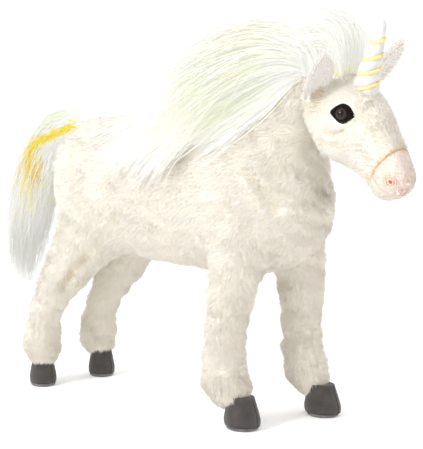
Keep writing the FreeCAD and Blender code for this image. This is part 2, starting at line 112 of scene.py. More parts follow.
STUFFING_INSET = 3.0
PUCKER_DEPTH = 0.40
# The head's rows and lumps are in its own turned plane, with x forward of the pivot.
HEAD = [(27, 0, 335, 17, 15), (40, 0, 324, 31, 27), (57, 0, 310, 36, 30), (77, 0, 295, 32, 24.5),
        (96, 0, 278, 24, 18.5), (110, 0, 264, 20, 17.5), (117, 0, 257, 17, 16.5)]
HEAD_LUMPS = [*both_lumps((77, 9, 321), (11, 9, 10)), *both_lumps((73, 18.5, 314), (15, 10, 13)),
              *both_lumps((60, 17, 294), (19, 13, 21)), ((106, 0, 249), (13, 13, 10.5))]
HEAD_CREASES = [*both_creases([(110, 19, 257), (100, 22, 266), (90, 26, 276)], 1.6, 2.2),
                *both_creases([(76, 26, 300), (66, 30, 297), (54, 31, 298)], 2.6, 2.6),
                *both_creases([(70, 28, 288), (60, 31, 285), (52, 29, 288)], 1.8, 2.4)]
EYE_PLACE = (76.5, 30.5, 316.0)
SOCKET_RADIUS = 9.2
SNOUT_START = np.array([38.0, 0.0, 326.0])
SNOUT_WAY = np.array([0.777, 0.0, -0.629])
SNOUT_UP = np.array([0.629, 0.0, 0.777])
MUZZLE_SEAM = 92.0
MOUTH_DROP = -13.0

# ---- Where one cover is sewn to the next: a plane, and the run over which a joint's bend fades out.
NECK_SEAM = (np.array([0.54, 0.0, 0.84]), 285.0, 40.0)
LOW_LEG = 140.0
LEG_SEAMS = {"front": (np.array([0.2, 0.7, -0.686]), -69.7, 30.0),
             "rear": (np.array([-0.3, 0.75, -0.59]), -40.4, 34.0)}


# ---- Colours of fibres. The last pile and muzzle shades are a painted shade: the tan given to strands in the creases and along the seams.
PILE_SHADES = [(0.955, 0.925, 0.845), (0.945, 0.895, 0.785), (0.965, 0.94, 0.885), (0.925, 0.855, 0.71),
               (0.81, 0.69, 0.47)]
LINING_SHADES = [(0.96, 0.94, 0.90), (0.95, 0.91, 0.86), (0.94, 0.88, 0.81)]
MUZZLE_SHADES = [(0.95, 0.84, 0.77), (0.96, 0.89, 0.83), (0.94, 0.78, 0.68), (0.97, 0.93, 0.89),
                 (0.86, 0.58, 0.38)]
HAIR_SHADES = [(0.96, 0.955, 0.92), (0.94, 0.95, 0.87), (0.89, 0.95, 0.75), (0.955, 0.93, 0.77),
               (0.97, 0.88, 0.42), (1.0, 0.80, 0.04), (0.99, 0.70, 0.15), (0.93, 0.92, 0.90)]
SNOW, MIST, GREEN, CREAM, STRAW, YELLOW, ORANGE, ASH = range(len(HAIR_SHADES))
# Per kind of fibre: shades, how much light it throws back, how strongly it glows, and the glow's tone. The
# glow is painted light given off by the fibres themselves: it stands in for light passing through fine pale
# fibres, and lifts and warms their shade.
FIBRES = {
    "pile": (PILE_SHADES, 0.83, 0.125, (1.0, 0.88, 0.68)),
    "muzzle": (MUZZLE_SHADES, 0.82, 0.12, (1.0, 0.88, 0.76)),
    "hair": (HAIR_SHADES, 0.50, 0.54, (1.0, 1.0, 0.97)),
    "down": (LINING_SHADES, 0.62, 0.46, (1.0, 1.0, 0.97)),
}
RAMP_ENDS = (0.32, 0.68)
# From the middle of the eye outwards is from right to left: pupil, brown iris, dark rim.
EYE_SHADES = [(0.0, (0.006, 0.004, 0.003)), (0.62, (0.008, 0.005, 0.004)), (0.74, (0.035, 0.014, 0.006)),
              (0.84, (0.020, 0.008, 0.004)), (0.88, (0.002, 0.002, 0.002)), (1.0, (0.001, 0.001, 0.001))]

# ---- Pile.
# Per cover: strands per square millimetre, length, root half width, lean off the surface, way it is combed.
COATS = {
    "trunk": (1.7, 6.0, 0.52, 52, (-0.75, 0.0, -0.65)),
    "neck": (1.7, 8.0, 0.52, 60, (-0.60, 0.0, -0.80)),
    "head": (3.2, 3.8, 0.40, 50, (-0.80, 0.0, 0.25)),
    "muzzle": (3.8, 2.4, 0.36, 45, (-0.75, 0.0, 0.45)),
    "front_right": (1.8, 6.0, 0.50, 50, (-0.15, 0.0, -1.0)),
    "front_left": (1.8, 6.0, 0.50, 50, (-0.15, 0.0, -1.0)),
    "rear_right": (1.8, 6.0, 0.50, 50, (-0.30, 0.0, -0.95)),
    "rear_left": (1.8, 6.0, 0.50, 50, (-0.30, 0.0, -0.95)),
}
TUFT = 6.0                # the size of the tufts that the pile falls into
CHUNK = 60000             # strands in one piece of pile, so that no piece is too heavy to hand on
RUFF_EDGE = 50.0
RUFF_COAT = (1.6, 7.5, 0.5, 58, (-0.85, 0.0, -0.35))
CUFF_TOP, CUFF_DENSITY = 52.0, 1.9
CUFF_LENGTH = {"front": 8.5, "rear": 5.0}
SHADE_PATCH, SHADE_SPREAD = 30, (-0.9, 1.1)
STRAND_SINK = 0.6         # each strand starts this far under the skin
EYE_CLEAR, HORN_CLEAR, NOSTRIL_CLEAR = 5.2, 7.5, 2.4

# ---- Long hair, in side view. Roots run along the crest, from the withers to the poll.
CREST = [(52, 300), (66, 306), (90, 325), (120, 343), (146, 354), (160, 357)]
NECK_LOCKS = 2700
CURTAIN_LOCKS = 2700
SWEEP_LOCKS = 2600
FRIZZ = 0.07
WITHERS_LOCKS = 2000
FORELOCK_LOCKS = 900
TAIL_LOCKS = 2700
LOCK_STEPS = 13
HAIR_RADIUS = 0.34
HAIR_SIDE = 76.0          # hair is kept within this of the middle
MOST_LIFT = 12.0          # one step of a strand is lifted off the body by no more than this
TAIL_SIDE = 40
TAIL_LINE = [(-136, 289), (-158, 291), (-178, 281), (-197, 262), (-214, 230), (-229, 188), (-240, 146),
             (-244, 100)]
TAIL_BACK = -259.0        # the tips reach no further back than this
TAIL_GIRTH = [(0, 7), (0.12, 14), (0.3, 23), (0.5, 26), (0.7, 24), (0.85, 18), (1.0, 8)]

# ---- Eyes, ears, horn and face, in the head's plane.
EYE_RADIUS = 7.0
EYE_AIM = (0.25, 1.0, 0.12)
EYE_LINE = (1.0, 0.0, -0.08)
LID_WIDE, LID_HIGH, LID_SHUT = 11.0, (10.6, 8.4), (6.6, 6.2)
LID_ROLL, LID_BACK = 1.4, 0.6
HORN_FOOT = (75.5, 0.0, 334.0)
HORN_TOP = (99.0, 0.0, 402.0)
HORN_ROWS = [(0, 13.0), (10, 12.2), (22, 10.4), (34, 8.5), (44, 6.9), (56, 5.2), (64, 4.2), (69, 3.0),
             (71.5, 1.0)]
BAND_PLACES = (9.0, 23.0, 36.5, 52.0)
BAND_TILT = 30.0
BAND_RADIUS = 1.9
PUFF = 0.13
NOSTRIL = (123.0, 14.0, 256.0)
MOUTH = [(126.0, 1.0, 243.5), (117.0, 13.0, 244.0), (110.0, 18.0, 250.0), (104.0, 19.0, 259.0)]
EAR_ROOT = (36.0, 30.0, 331.0)
EAR_TIPS = {"right": (70.0, 46.0, 366.0), "left": (83.0, 47.0, 377.0)}
EAR_FRONT = (0.97, 0.18, -0.15)
EAR_WIDE, EAR_CUP = 19.0, 0.95
EAR_RIM_STRANDS = 1500
EAR_FUZZ, LINING_FUZZ = (2.2, 4.5), (1.5, 3.0)
CAP_SHARES = (0.01, 0.5)  # the small rings that close a loft

# ---- Hooves: height share and size of each ring.
HOOF_POWER = 2.1
HOOF_ROWS = ((0.0, 0.84), (0.04, 0.92), (0.12, 0.97), (0.26, 0.98), (0.45, 0.92), (0.7, 0.82),
             (0.9, 0.74), (1.0, 0.70))
RIM_SIZE = 0.925
HOOF_OVERLAP, HOOF_TUCK = 1.5, 4.0   # down over the sole, and up into the cuff

# ---- Stage.
CAMERA_TARGET = (0.0207, 0.0002, 0.1936)
CAMERA_TURN, CAMERA_RISE, CAMERA_DISTANCE, CAMERA_LENS = 38.0, 7.5, 1.5, 116.3
WORLD_LIGHT = 0.90
FLOOR_GLOW = 0.16
LIGHTS = [("key", (-0.9, -1.5, 1.7), 1.4, 16.0), ("glint", (-0.25, -1.35, 0.95), 0.28, 11.0),
          ("fill", (1.7, -1.2, 0.9), 1.6, 6.0),
          ("rim", (0.6, 1.6, 1.5), 1.4, 10.0)]
FLOOR_HALF = 3000


def smoothstep(t):
    t = np.clip(t, 0.0, 1.0)
    return t * t * (3.0 - 2.0 * t)


def unit(vectors):
    return vectors / (np.linalg.norm(vectors, axis=-1, keepdims=True) + 1e-9)


def layout_to_frame(points):
    return (np.asarray(points, float) + LAYOUT) * MM


def head_to_layout(points):
    p = np.asarray(points, float)
    c, s = math.cos(HEAD_TURN), math.sin(HEAD_TURN)
    return np.stack([HEAD_PIVOT[0] + p[..., 0] * c - p[..., 1] * s,
                     p[..., 0] * s + p[..., 1] * c, p[..., 2]], -1)


def layout_to_head(points):
    p = np.asarray(points, float)
    c, s = math.cos(HEAD_TURN), math.sin(HEAD_TURN)
    x = p[..., 0] - HEAD_PIVOT[0]
    return np.stack([x * c + p[..., 1] * s, -x * s + p[..., 1] * c, p[..., 2]], -1)


def head_way(vectors):
    """Turns directions of the head's own plane into the lay-out."""
    return head_to_layout(vectors) - head_to_layout(np.zeros(3))


# ---------------------------------------------------------------- smooth forms

def smooth_min(a, b, k):
    h = np.maximum(k - np.abs(a - b), 0.0) / k
    return np.minimum(a, b) - h * h * k * 0.25


def limb_field(points, rows, k):
    """Distance to a limb that runs through oval rows."""
    field = None
    for start, end in zip(rows[:-1], rows[1:]):
        a, b = np.array(start[:3], float), np.array(end[:3], float)
        run = b - a
        offset = points - a
        share = np.clip(offset @ run / (run @ run), 0.0, 1.0)
        half = start[3] + (end[3] - start[3]) * share
        wide = start[4] + (end[4] - start[4]) * share
        away = offset - share[:, None] * run
        squared = away[:, 0] ** 2 + away[:, 2] ** 2 + (away[:, 1] * half / wide) ** 2
        part = (np.sqrt(squared) - half) * np.minimum(1.0, wide / half)
        field = part if field is None else smooth_min(field, part, k)
    return field


def lump_field(points, centre, radii):
    """Distance to an ellipsoid, good near its surface."""
    radii = np.array(radii, float)
    offset = (points - np.array(centre, float)) / radii
    near = np.sqrt((offset ** 2).sum(1)) + 1e-9
    slope = np.sqrt(((offset / radii) ** 2).sum(1)) + 1e-9
    return near * (near - 1.0) / slope


def line_distance(points, line):
    """Distance to a line through several points."""
    nearest = np.full(len(points), 1e3)
    for start, end in zip(line[:-1], line[1:]):
        a, run = np.array(start, float), np.subtract(end, start).astype(float)
        share = np.clip((points - a) @ run / (run @ run), 0.0, 1.0)
        nearest = np.minimum(nearest, np.linalg.norm(points - a - share[:, None] * run, axis=1))
    return nearest


def crease(points, field, creases):
    for line, depth, width in creases:
        field = field + depth * np.exp(-(line_distance(points, line) / width) ** 2)
    return field


def body_field(points):
    field = limb_field(points, TRUNK, BODY_BLEND)
    for centre, radii in BODY_LUMPS:
        field = smooth_min(field, lump_field(points, centre, radii), BODY_BLEND)
    field = smooth_min(field, limb_field(points, NECK, BODY_BLEND), 2 * BODY_BLEND)
    for name in LEGS:
        field = smooth_min(field, limb_field(points, LEG_ROWS[name], FACE_BLEND), BODY_BLEND)
    for wave, phase in PUCKERS:
        field = field + PUCKER_DEPTH * np.sin(points @ wave + phase)
    return crease(points, field, CREASES)


def head_field(points):
    local = layout_to_head(points)
    field = limb_field(local, HEAD, FACE_BLEND)
    for centre, radii in HEAD_LUMPS:
        field = smooth_min(field, lump_field(local, centre, radii), FACE_BLEND)
    for sign in SIDES.values():
        away = np.linalg.norm(local - np.array(EYE_PLACE) * [1.0, sign, 1.0], axis=1)
        field = np.maximum(field, SOCKET_RADIUS - away)
    return crease(local, field, HEAD_CREASES)


class Form:
    """A smooth form on a grid: its surface, and the distance and the way out from any point."""

    def __init__(self, field, room, voxel):
        self.low, self.voxel = np.array(room[0]), voxel
        self.size = np.ceil((np.array(room[1]) - self.low) / voxel).astype(int) + 1
        axes = [self.low[i] + voxel * np.arange(self.size[i]) for i in range(3)]
        places = np.stack([a.ravel() for a in np.meshgrid(*axes, indexing="ij")], 1)
        self.grid = field(places).reshape(self.size)
        self.slopes = np.stack(np.gradient(self.grid, voxel), -1)

    def surface(self, inset=0.0):
        grid = openvdb.FloatGrid(60.0)
        grid.copyFromArray(np.ascontiguousarray(self.grid, dtype=np.float32))
        points, quads = grid.convertToQuads(isovalue=-inset)
        points = points.astype(float) * self.voxel + self.low
        for _ in range(2):
            points = points - self.outward(points) * (self.distance(points) + inset)[:, None]
        quads = quads.astype(int)
        a, b, c = (points[quads[:, i]] for i in range(3))
        facing = (np.cross(b - a, c - b) * self.outward(a)).sum(1).mean()
        return points, quads if facing > 0 else quads[:, ::-1]

    def sample(self, grid, points):
        place = np.clip((points - self.low) / self.voxel, 0, self.size - 1.001)
        cell = place.astype(int)
        share = place - cell
        total = 0.0
        for corner in range(8):
            step = np.array([(corner >> i) & 1 for i in range(3)])
            weight = np.prod(np.where(step, share, 1.0 - share), axis=1)
            i, j, k = (cell + step).T
            value = grid[i, j, k]
            total = total + (weight[:, None] * value if value.ndim > 1 else weight * value)
        return total

    def distance(self, points):
        inside = np.clip(points, self.low, self.low + self.voxel * (self.size - 1))
        return self.sample(self.grid, points) + np.linalg.norm(points - inside, axis=1)

    def outward(self, points):
        return unit(self.sample(self.slopes, points))

    def drop(self, points, height=0.0):
        """Moves points onto the surface, or to a height over it."""
        points = np.array(points, float)
        for _ in range(4):
            points = points - self.outward(points) * (self.distance(points) - height)[:, None]
        return points


# ---------------------------------------------------------------- meshes

def make_mesh(name, points, faces, materials, slots=None, normals=None, origin=None):
    """A mesh object from lay-out points and faces that all have the same number of corners."""
    faces = np.asarray(faces)
    corners = faces.shape[1]
    place = layout_to_frame(points)
    if origin is not None:
        place = place - layout_to_frame(origin)
    mesh = bpy.data.meshes.new(name)
    mesh.vertices.add(len(place))
    mesh.vertices.foreach_set("co", place.ravel())
    mesh.loops.add(faces.size)
    mesh.loops.foreach_set("vertex_index", faces.ravel())
    mesh.polygons.add(len(faces))
    mesh.polygons.foreach_set("loop_start", np.arange(len(faces)) * corners)
    mesh.polygons.foreach_set("use_smooth", np.ones(len(faces), bool))
    for material in materials:
        mesh.materials.append(material)
    if slots is not None:
        mesh.polygons.foreach_set("material_index", np.asarray(slots, dtype=np.int32))
    mesh.update(calc_edges=True)
    if normals is not None:
        mesh.normals_split_custom_set_from_vertices(normals.tolist())
    piece = bpy.data.objects.new(name, mesh)
    bpy.context.scene.collection.objects.link(piece)
    if origin is not None:
        piece.location = layout_to_frame(origin)
    return piece


def part_of(points, faces, chosen):
    """The chosen faces, with only the points they use."""
    faces = faces[chosen]
    used, numbers = np.unique(faces, return_inverse=True)
    return points[used], numbers.reshape(faces.shape)


def grid_faces(rows, columns, closed):
    """Quads of a grid whose columns may close into rings."""
    last = columns if closed else columns - 1
    i, j = np.meshgrid(np.arange(rows - 1), np.arange(last), indexing="ij")
    i, j = i.ravel(), j.ravel()
    k = (j + 1) % columns
    corners = [i * columns + j, i * columns + k, (i + 1) * columns + k, (i + 1) * columns + j]
    return np.stack(corners, 1)


def loft(rings, capped=True):
    """Points and quads of a skin over rings (rows, corners, 3), closed with small rings at its ends."""
    rings = np.asarray(rings, float)
    rows = list(rings)
    if capped:
        low, high = rings[0].mean(0), rings[-1].mean(0)
        rows = ([low + (rings[0] - low) * share for share in CAP_SHARES] + rows
                + [high + (rings[-1] - high) * share for share in CAP_SHARES[::-1]])
    rows = np.array(rows)
    return rows.reshape(-1, 3), grid_faces(len(rows), rings.shape[1], True)


def oval_ring(centre, u, v, wide, deep, power=2.0, corners=40):
    angle = np.linspace(0, 2 * np.pi, corners, endpoint=False)
    c, s = np.cos(angle), np.sin(angle)
    round_c = np.sign(c) * np.abs(c) ** (2.0 / power) * wide
    round_s = np.sign(s) * np.abs(s) ** (2.0 / power) * deep
    return np.asarray(centre) + round_c[:, None] * np.asarray(u) + round_s[:, None] * np.asarray(v)


def tubes(paths, radii, sides, turn=None):
    """Thin tubes along many paths (n, steps, 3) at once, with radii (n, steps)."""
    n, steps, _ = paths.shape
    way = unit(np.gradient(paths, axis=1))
    lead = np.array([0.0, 1.0, 0.0]) if turn is None else turn[:, None, :]
    side = unit(np.cross(way, np.broadcast_to(lead, way.shape)))
    other = np.cross(way, side)
    angle = np.arange(sides) * 2 * np.pi / sides
    ring = (np.cos(angle)[:, None] * side[:, :, None, :] + np.sin(angle)[:, None] * other[:, :, None, :])
    points = paths[:, :, None, :] + ring * radii[:, :, None, None]
    faces = grid_faces(steps, sides, True)
    faces = (faces[None] + (np.arange(n) * steps * sides)[:, None, None]).reshape(-1, 4)
    return points.reshape(-1, 3), faces, ring.reshape(-1, 3)


def spline(points, count):
    """Evenly spread points on a smooth line through the given ones."""
    points = np.asarray(points, float)
    knots = np.arange(len(points))
    at = np.linspace(0, len(points) - 1, count)
    cell = np.clip(at.astype(int), 0, len(points) - 2)
    t = (at - cell)[:, None]
    slope = np.gradient(points, knots, axis=0)
    a, b, da, db = points[cell], points[cell + 1], slope[cell], slope[cell + 1]
    return ((2 * t ** 3 - 3 * t ** 2 + 1) * a + (t ** 3 - 2 * t ** 2 + t) * da
            + (3 * t ** 2 - 2 * t ** 3) * b + (t ** 3 - t ** 2) * db)


def cord_mesh(line, radius, sides=10):
    line = np.asarray(line, float)
    thick = np.full((1, len(line)), float(radius))
    thick[0, 0] = thick[0, -1] = radius * 0.3
    points, faces, _ = tubes(line[None], thick, sides)
    return points, faces


def join_parts(parts):
    """Several (points, quads) as one."""
    points, faces, start = [], [], 0
    for some_points, some_faces in parts:
        points.append(some_points)
        faces.append(some_faces + start)
        start += len(some_points)
    return np.concatenate(points), np.concatenate(faces)


# ---------------------------------------------------------------- materials

def new_material(name):
    material = bpy.data.materials.new(name)
    material.use_nodes = True
    tree = material.node_tree
    return material, tree.nodes, tree.links, tree.nodes["Principled BSDF"]


def noise_at(nodes, links, scale, detail):
    """A noise in object space."""
    place = nodes.new("ShaderNodeTexCoord")
    noise = nodes.new("ShaderNodeTexNoise")
    noise.inputs["Scale"].default_value = scale
    noise.inputs["Detail"].default_value = detail
    links.new(place.outputs["Object"], noise.inputs["Vector"])
    return noise


def ramp_of(nodes, shades):
    """A ramp through (position, colour) pairs."""
    ramp = nodes.new("ShaderNodeValToRGB")
    elements = ramp.color_ramp.elements
    while len(elements) < len(shades):
        elements.new(0.5)
    for element, (position, colour) in zip(elements, shades):
        element.position = position
        element.color = (*colour, 1.0)
    return ramp


def fabric(name, low, high, scale=90.0, grain=900.0, depth=0.25, roughness=0.85, sheen=0.3,
           metal=0.0, shine=0.5):
    """A worn-in surface: colour that wanders between two shades, and a fine grain."""
    material, nodes, links, shader = new_material(name)
    ramp = ramp_of(nodes, list(zip(RAMP_ENDS, (low, high))))
    links.new(noise_at(nodes, links, scale, 4.0).outputs["Fac"], ramp.inputs["Fac"])
    links.new(ramp.outputs["Color"], shader.inputs["Base Color"])
    bump = nodes.new("ShaderNodeBump")
    bump.inputs["Strength"].default_value = depth
    bump.inputs["Distance"].default_value = MM
    links.new(noise_at(nodes, links, grain, 2.0).outputs["Fac"], bump.inputs["Height"])
    links.new(bump.outputs["Normal"], shader.inputs["Normal"])
    shader.inputs["Roughness"].default_value = roughness
    shader.inputs["Sheen Weight"].default_value = sheen
    shader.inputs["Metallic"].default_value = metal
    shader.inputs["Specular IOR Level"].default_value = shine
    return material


def strand(name, colour, body, painted_glow, painted_glow_tone):
    """One shade of fibre. A pile mixes several of these, strand by strand.
    The glow is painted light: the strand gives off light of its own, which stands in for light passing
    through fine pale fibres and lifts and warms its shade. body is what they throw back."""
    material, _, _, shader = new_material(name)
    shader.inputs["Base Color"].default_value = (*(channel * body for channel in colour), 1.0)
    shader.inputs["Roughness"].default_value = 0.75
    shader.inputs["Sheen Weight"].default_value = 0.1
    shader.inputs["Specular IOR Level"].default_value = 0.25
    # Painted light: the fibre glows in its own shade, warmed by the tone, so that its shade reads lighter
    # and warmer.
    painted_glow_colour = (channel * share for channel, share in zip(colour, painted_glow_tone))
    shader.inputs["Emission Color"].default_value = (*painted_glow_colour, 1.0)
    shader.inputs["Emission Strength"].default_value = painted_glow
    return material


def add_glow(material, strength):
    """A floor that stays as pale as the backdrop."""
    shader = material.node_tree.nodes["Principled BSDF"]
    shader.inputs["Emission Color"].default_value = (1.0, 1.0, 1.0, 1.0)
    shader.inputs["Emission Strength"].default_value = strength


def eye_material(axis):
    """Black pupil, dark brown iris that lightens outwards, and a dark rim, under clear gloss."""
    material, nodes, links, shader = new_material("eye_gloss")
    place = nodes.new("ShaderNodeTexCoord")
    turn = nodes.new("ShaderNodeVectorMath")
    turn.operation = "NORMALIZE"
    dot = nodes.new("ShaderNodeVectorMath")
    dot.operation = "DOT_PRODUCT"
    dot.inputs[1].default_value = tuple(axis)
    ramp = ramp_of(nodes, EYE_SHADES)
    links.new(place.outputs["Object"], turn.inputs[0])
    links.new(turn.outputs["Vector"], dot.inputs[0])
    links.new(dot.outputs["Value"], ramp.inputs["Fac"])
    links.new(ramp.outputs["Color"], shader.inputs["Base Color"])
    shader.inputs["Roughness"].default_value = 0.05
    shader.inputs["Specular IOR Level"].default_value = 0.30
    return material


def make_materials():
    made = {
        "plush_base": fabric("plush_base", (0.88, 0.81, 0.69), (0.94, 0.90, 0.83), scale=60),
        "wadding": fabric("wadding", (0.80, 0.80, 0.78), (0.95, 0.95, 0.94), scale=120),
        "muzzle_base": fabric("muzzle_base", (0.88, 0.64, 0.52), (0.95, 0.86, 0.80), scale=110, grain=700),
        "seam_thread": fabric("seam_thread", (0.45, 0.25, 0.11), (0.64, 0.42, 0.22), scale=500, grain=1800),
        "nostril_thread": fabric("nostril_thread", (0.74, 0.48, 0.37), (0.86, 0.64, 0.53), scale=420),
        "nostril_dark": fabric("nostril_dark", (0.30, 0.09, 0.04), (0.50, 0.19, 0.09), scale=300),
        "mouth_thread": fabric("mouth_thread", (0.62, 0.38, 0.28), (0.80, 0.56, 0.45), scale=420),
        "lining": fabric("lining", (0.80, 0.66, 0.55), (0.90, 0.82, 0.74), scale=70, grain=900, depth=0.5),
        "horn_white": fabric("horn_white", (0.56, 0.55, 0.52), (0.74, 0.73, 0.70), scale=80,
                             roughness=0.55, sheen=0.0),
        "horn_yellow": fabric("horn_yellow", (0.72, 0.60, 0.18), (0.84, 0.76, 0.38), scale=400,
                              roughness=0.5),
        "lid_leather": fabric("lid_leather", (0.004, 0.003, 0.003), (0.014, 0.011, 0.010), scale=300,
                              roughness=0.5, sheen=0.0, shine=0.04),
        "hoof_suede": fabric("hoof_suede", (0.040, 0.034, 0.031), (0.062, 0.054, 0.050), scale=90,
                             grain=1500, depth=0.6, roughness=0.95, sheen=0.25),
        "sole_suede": fabric("sole_suede", (0.10, 0.095, 0.09), (0.19, 0.18, 0.175), scale=150,
                             grain=1500, depth=0.6, roughness=0.95),
        "hoof_seam": fabric("hoof_seam", (0.012, 0.011, 0.010), (0.030, 0.028, 0.026), scale=500),
        "wire_steel": fabric("wire_steel", (0.42, 0.42, 0.43), (0.62, 0.62, 0.63), scale=300,
                             roughness=0.35, sheen=0.0, metal=1.0),
        "washer": fabric("washer", (0.70, 0.70, 0.68), (0.84, 0.84, 0.82), scale=200, roughness=0.4,
                         sheen=0.0),
        "floor": fabric("floor", (0.93, 0.93, 0.93), (0.96, 0.96, 0.96), scale=4, grain=400, depth=0.02),
    }
    add_glow(made["floor"], FLOOR_GLOW)
    for name, (shades, *light) in FIBRES.items():
        made[name] = [strand(f"{name}_{number}", shade, *light) for number, shade in enumerate(shades)]
    return made


# ---------------------------------------------------------------- sewn skins and stuffing

def leg_seam(name):
    way, start, run = LEG_SEAMS[name.split("_")[0]]
    return way * np.array([1.0, SIDES[name.split("_")[1]], 1.0]), start, run


def body_labels(points):
    """Which cover each point of the body belongs to."""
    labels = np.full(len(points), "trunk", dtype=object)
    way, start, _ = NECK_SEAM
    labels[(points @ way > start) & (points[:, 0] > 40)] = "neck"
    for name in LEGS:
        way, start, _ = leg_seam(name)
        back = np.where(points[:, 2] < LOW_LEG, 40, 66)
        reach = points[:, 0] > back if name.startswith("front") else points[:, 0] < -40
        side = points[:, 1] * SIDES[name.split("_")[1]] > 4
        labels[(points @ way > start) & reach & side & (points[:, 2] < 215)] = name
    return labels


def along_snout(points):
    """How far a point is along the snout, and how far above its middle line."""
    offset = layout_to_head(points) - SNOUT_START
    return offset @ SNOUT_WAY, offset @ SNOUT_UP


def head_labels(points):
    along, above = along_snout(points)
    return np.where((along > MUZZLE_SEAM) & (above > MOUTH_DROP), "muzzle", "head").astype(object)


def attach(piece, part):
    """Parents a trunk, head, muzzle or tail piece to the body it belongs to; a neck or leg piece only has
    its placement baked into its mesh.
    """
    if part == "trunk":
        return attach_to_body(piece, "trunk")
    if part == "neck":
        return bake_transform(piece)
    if part in LEGS:
        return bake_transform(piece)
    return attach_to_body(piece, "tail" if part == "tail" else "head")


def cover_node(part):
    return f"{part}_leg" if part in LEGS else part


def make_skins(form, labels_of, parts):
    """Cuts the form into its covers, and the stuffing just inside each."""
    for inset, kind, ending in ((0.0, "skin", "cover"), (STUFFING_INSET, "stuffing", "filling")):
        points, quads = form.surface(inset)
        if "muzzle" in parts:
            along, _ = along_snout(points)
            near = np.abs(along - MUZZLE_SEAM) < form.voxel * 0.5
            points[near] -= head_way(SNOUT_WAY) * (along[near] - MUZZLE_SEAM)[:, None]
        labels = labels_of(points[quads].mean(1))
        if inset:
            labels[labels == "muzzle"] = "head"
        for part in parts:
            if inset and part == "muzzle":
                continue
            chosen = part_of(points, quads, labels == part)
            cloth = "muzzle_base" if part == "muzzle" else "plush_base"
            name = cover_node(part)
            piece = make_mesh(f"{name}_{kind}", *chosen, [MATERIALS["wadding" if inset else cloth]])
            attach(piece, part)
            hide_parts(f"{name}_{ending}")
            if inset:
                continue
            SKINS[part] = chosen


# ---------------------------------------------------------------- pile

def waves(points, length, turns=4):
    """A soft random vector at each point that changes over about that length."""
    total = np.zeros((len(points), 3))
    for _ in range(turns):
        wave = RNG.normal(size=(3, 3)) * (2.0 / length)
        total += np.sin(points @ wave + RNG.uniform(0, 6.3, 3))
    return total / math.sqrt(turns)


def scatter(points, quads, density):
    """Even random places on a mesh."""
    triangles = np.concatenate([quads[:, [0, 1, 2]], quads[:, [0, 2, 3]]])
    a, b, c = (points[triangles[:, i]] for i in range(3))
    area = np.linalg.norm(np.cross(b - a, c - a), axis=1) / 2
    count = int(area.sum() * density)
    chosen = RNG.choice(len(area), count, p=area / area.sum())
    u, v = RNG.uniform(size=(2, count, 1))
    fold = (u + v) > 1
    u, v = np.where(fold, 1 - u, u), np.where(fold, 1 - v, v)
    return a[chosen] + u * (b[chosen] - a[chosen]) + v * (c[chosen] - a[chosen])


def spikes(roots, ways, lengths, radii, facing):
    """Three-sided strands. facing gives each its shading normal, which keeps a deep pile soft."""
    side = unit(np.cross(ways, RNG.normal(size=ways.shape)))
    other = np.cross(ways, side)
    angle = np.arange(3) * 2 * np.pi / 3
    ring = np.cos(angle)[:, None] * side[:, None] + np.sin(angle)[:, None] * other[:, None]
    base = roots[:, None] + ring * radii[:, None, None]
    points = np.concatenate([base, (roots + ways * lengths[:, None])[:, None]], 1)
    faces = np.array([[0, 1, 3], [1, 2, 3], [2, 0, 3]]) + (np.arange(len(roots)) * 4)[:, None, None]
    normals = np.repeat(facing[:, None], 4, 1) + np.concatenate([ring, ways[:, None]], 1) * 0.15
    return points.reshape(-1, 3), faces.reshape(-1, 3), unit(normals).reshape(-1, 3)


def shade_of(roots, count):
    """A slot number per strand, in patches with a little dither."""
    field = waves(roots, SHADE_PATCH)[:, 0] * 0.5 + RNG.normal(size=len(roots)) * 0.6
    return np.digitize(field, np.linspace(*SHADE_SPREAD, count - 1))


def painted_shade_chance(part, roots):
    """The chance that a strand is of the last, tan shade, which is a painted shade: in the creases, round
    the ear roots and the nostrils, and along the muzzle's seams.
    """
    if part in ("head", "muzzle"):
        along, _ = along_snout(roots)
        chance = 0.75 * np.exp(-((along - MUZZLE_SEAM) / 2.2) ** 2)
        local = layout_to_head(roots)
        for side in SIDES.values():
            ear = np.linalg.norm(local - np.array(EAR_ROOT) * [1.0, side, 1.0], axis=1)
            chance = chance + 0.55 * np.exp(-((ear - 12.0) / 5.0) ** 2)
        for side in SIDES:
            hole = np.linalg.norm(roots - nostril_place(side), axis=1)
            chance = chance + 0.6 * np.exp(-((hole - 5.0) / 2.0) ** 2)
        for line, _, width in HEAD_CREASES:
            chance = chance + 0.35 * np.exp(-(line_distance(local, line) / width) ** 2)
        return chance
    chance = np.zeros(len(roots))
    for line, _, width in CREASES:
        chance = chance + 0.55 * np.exp(-(line_distance(roots, line) / width) ** 2)
    return chance


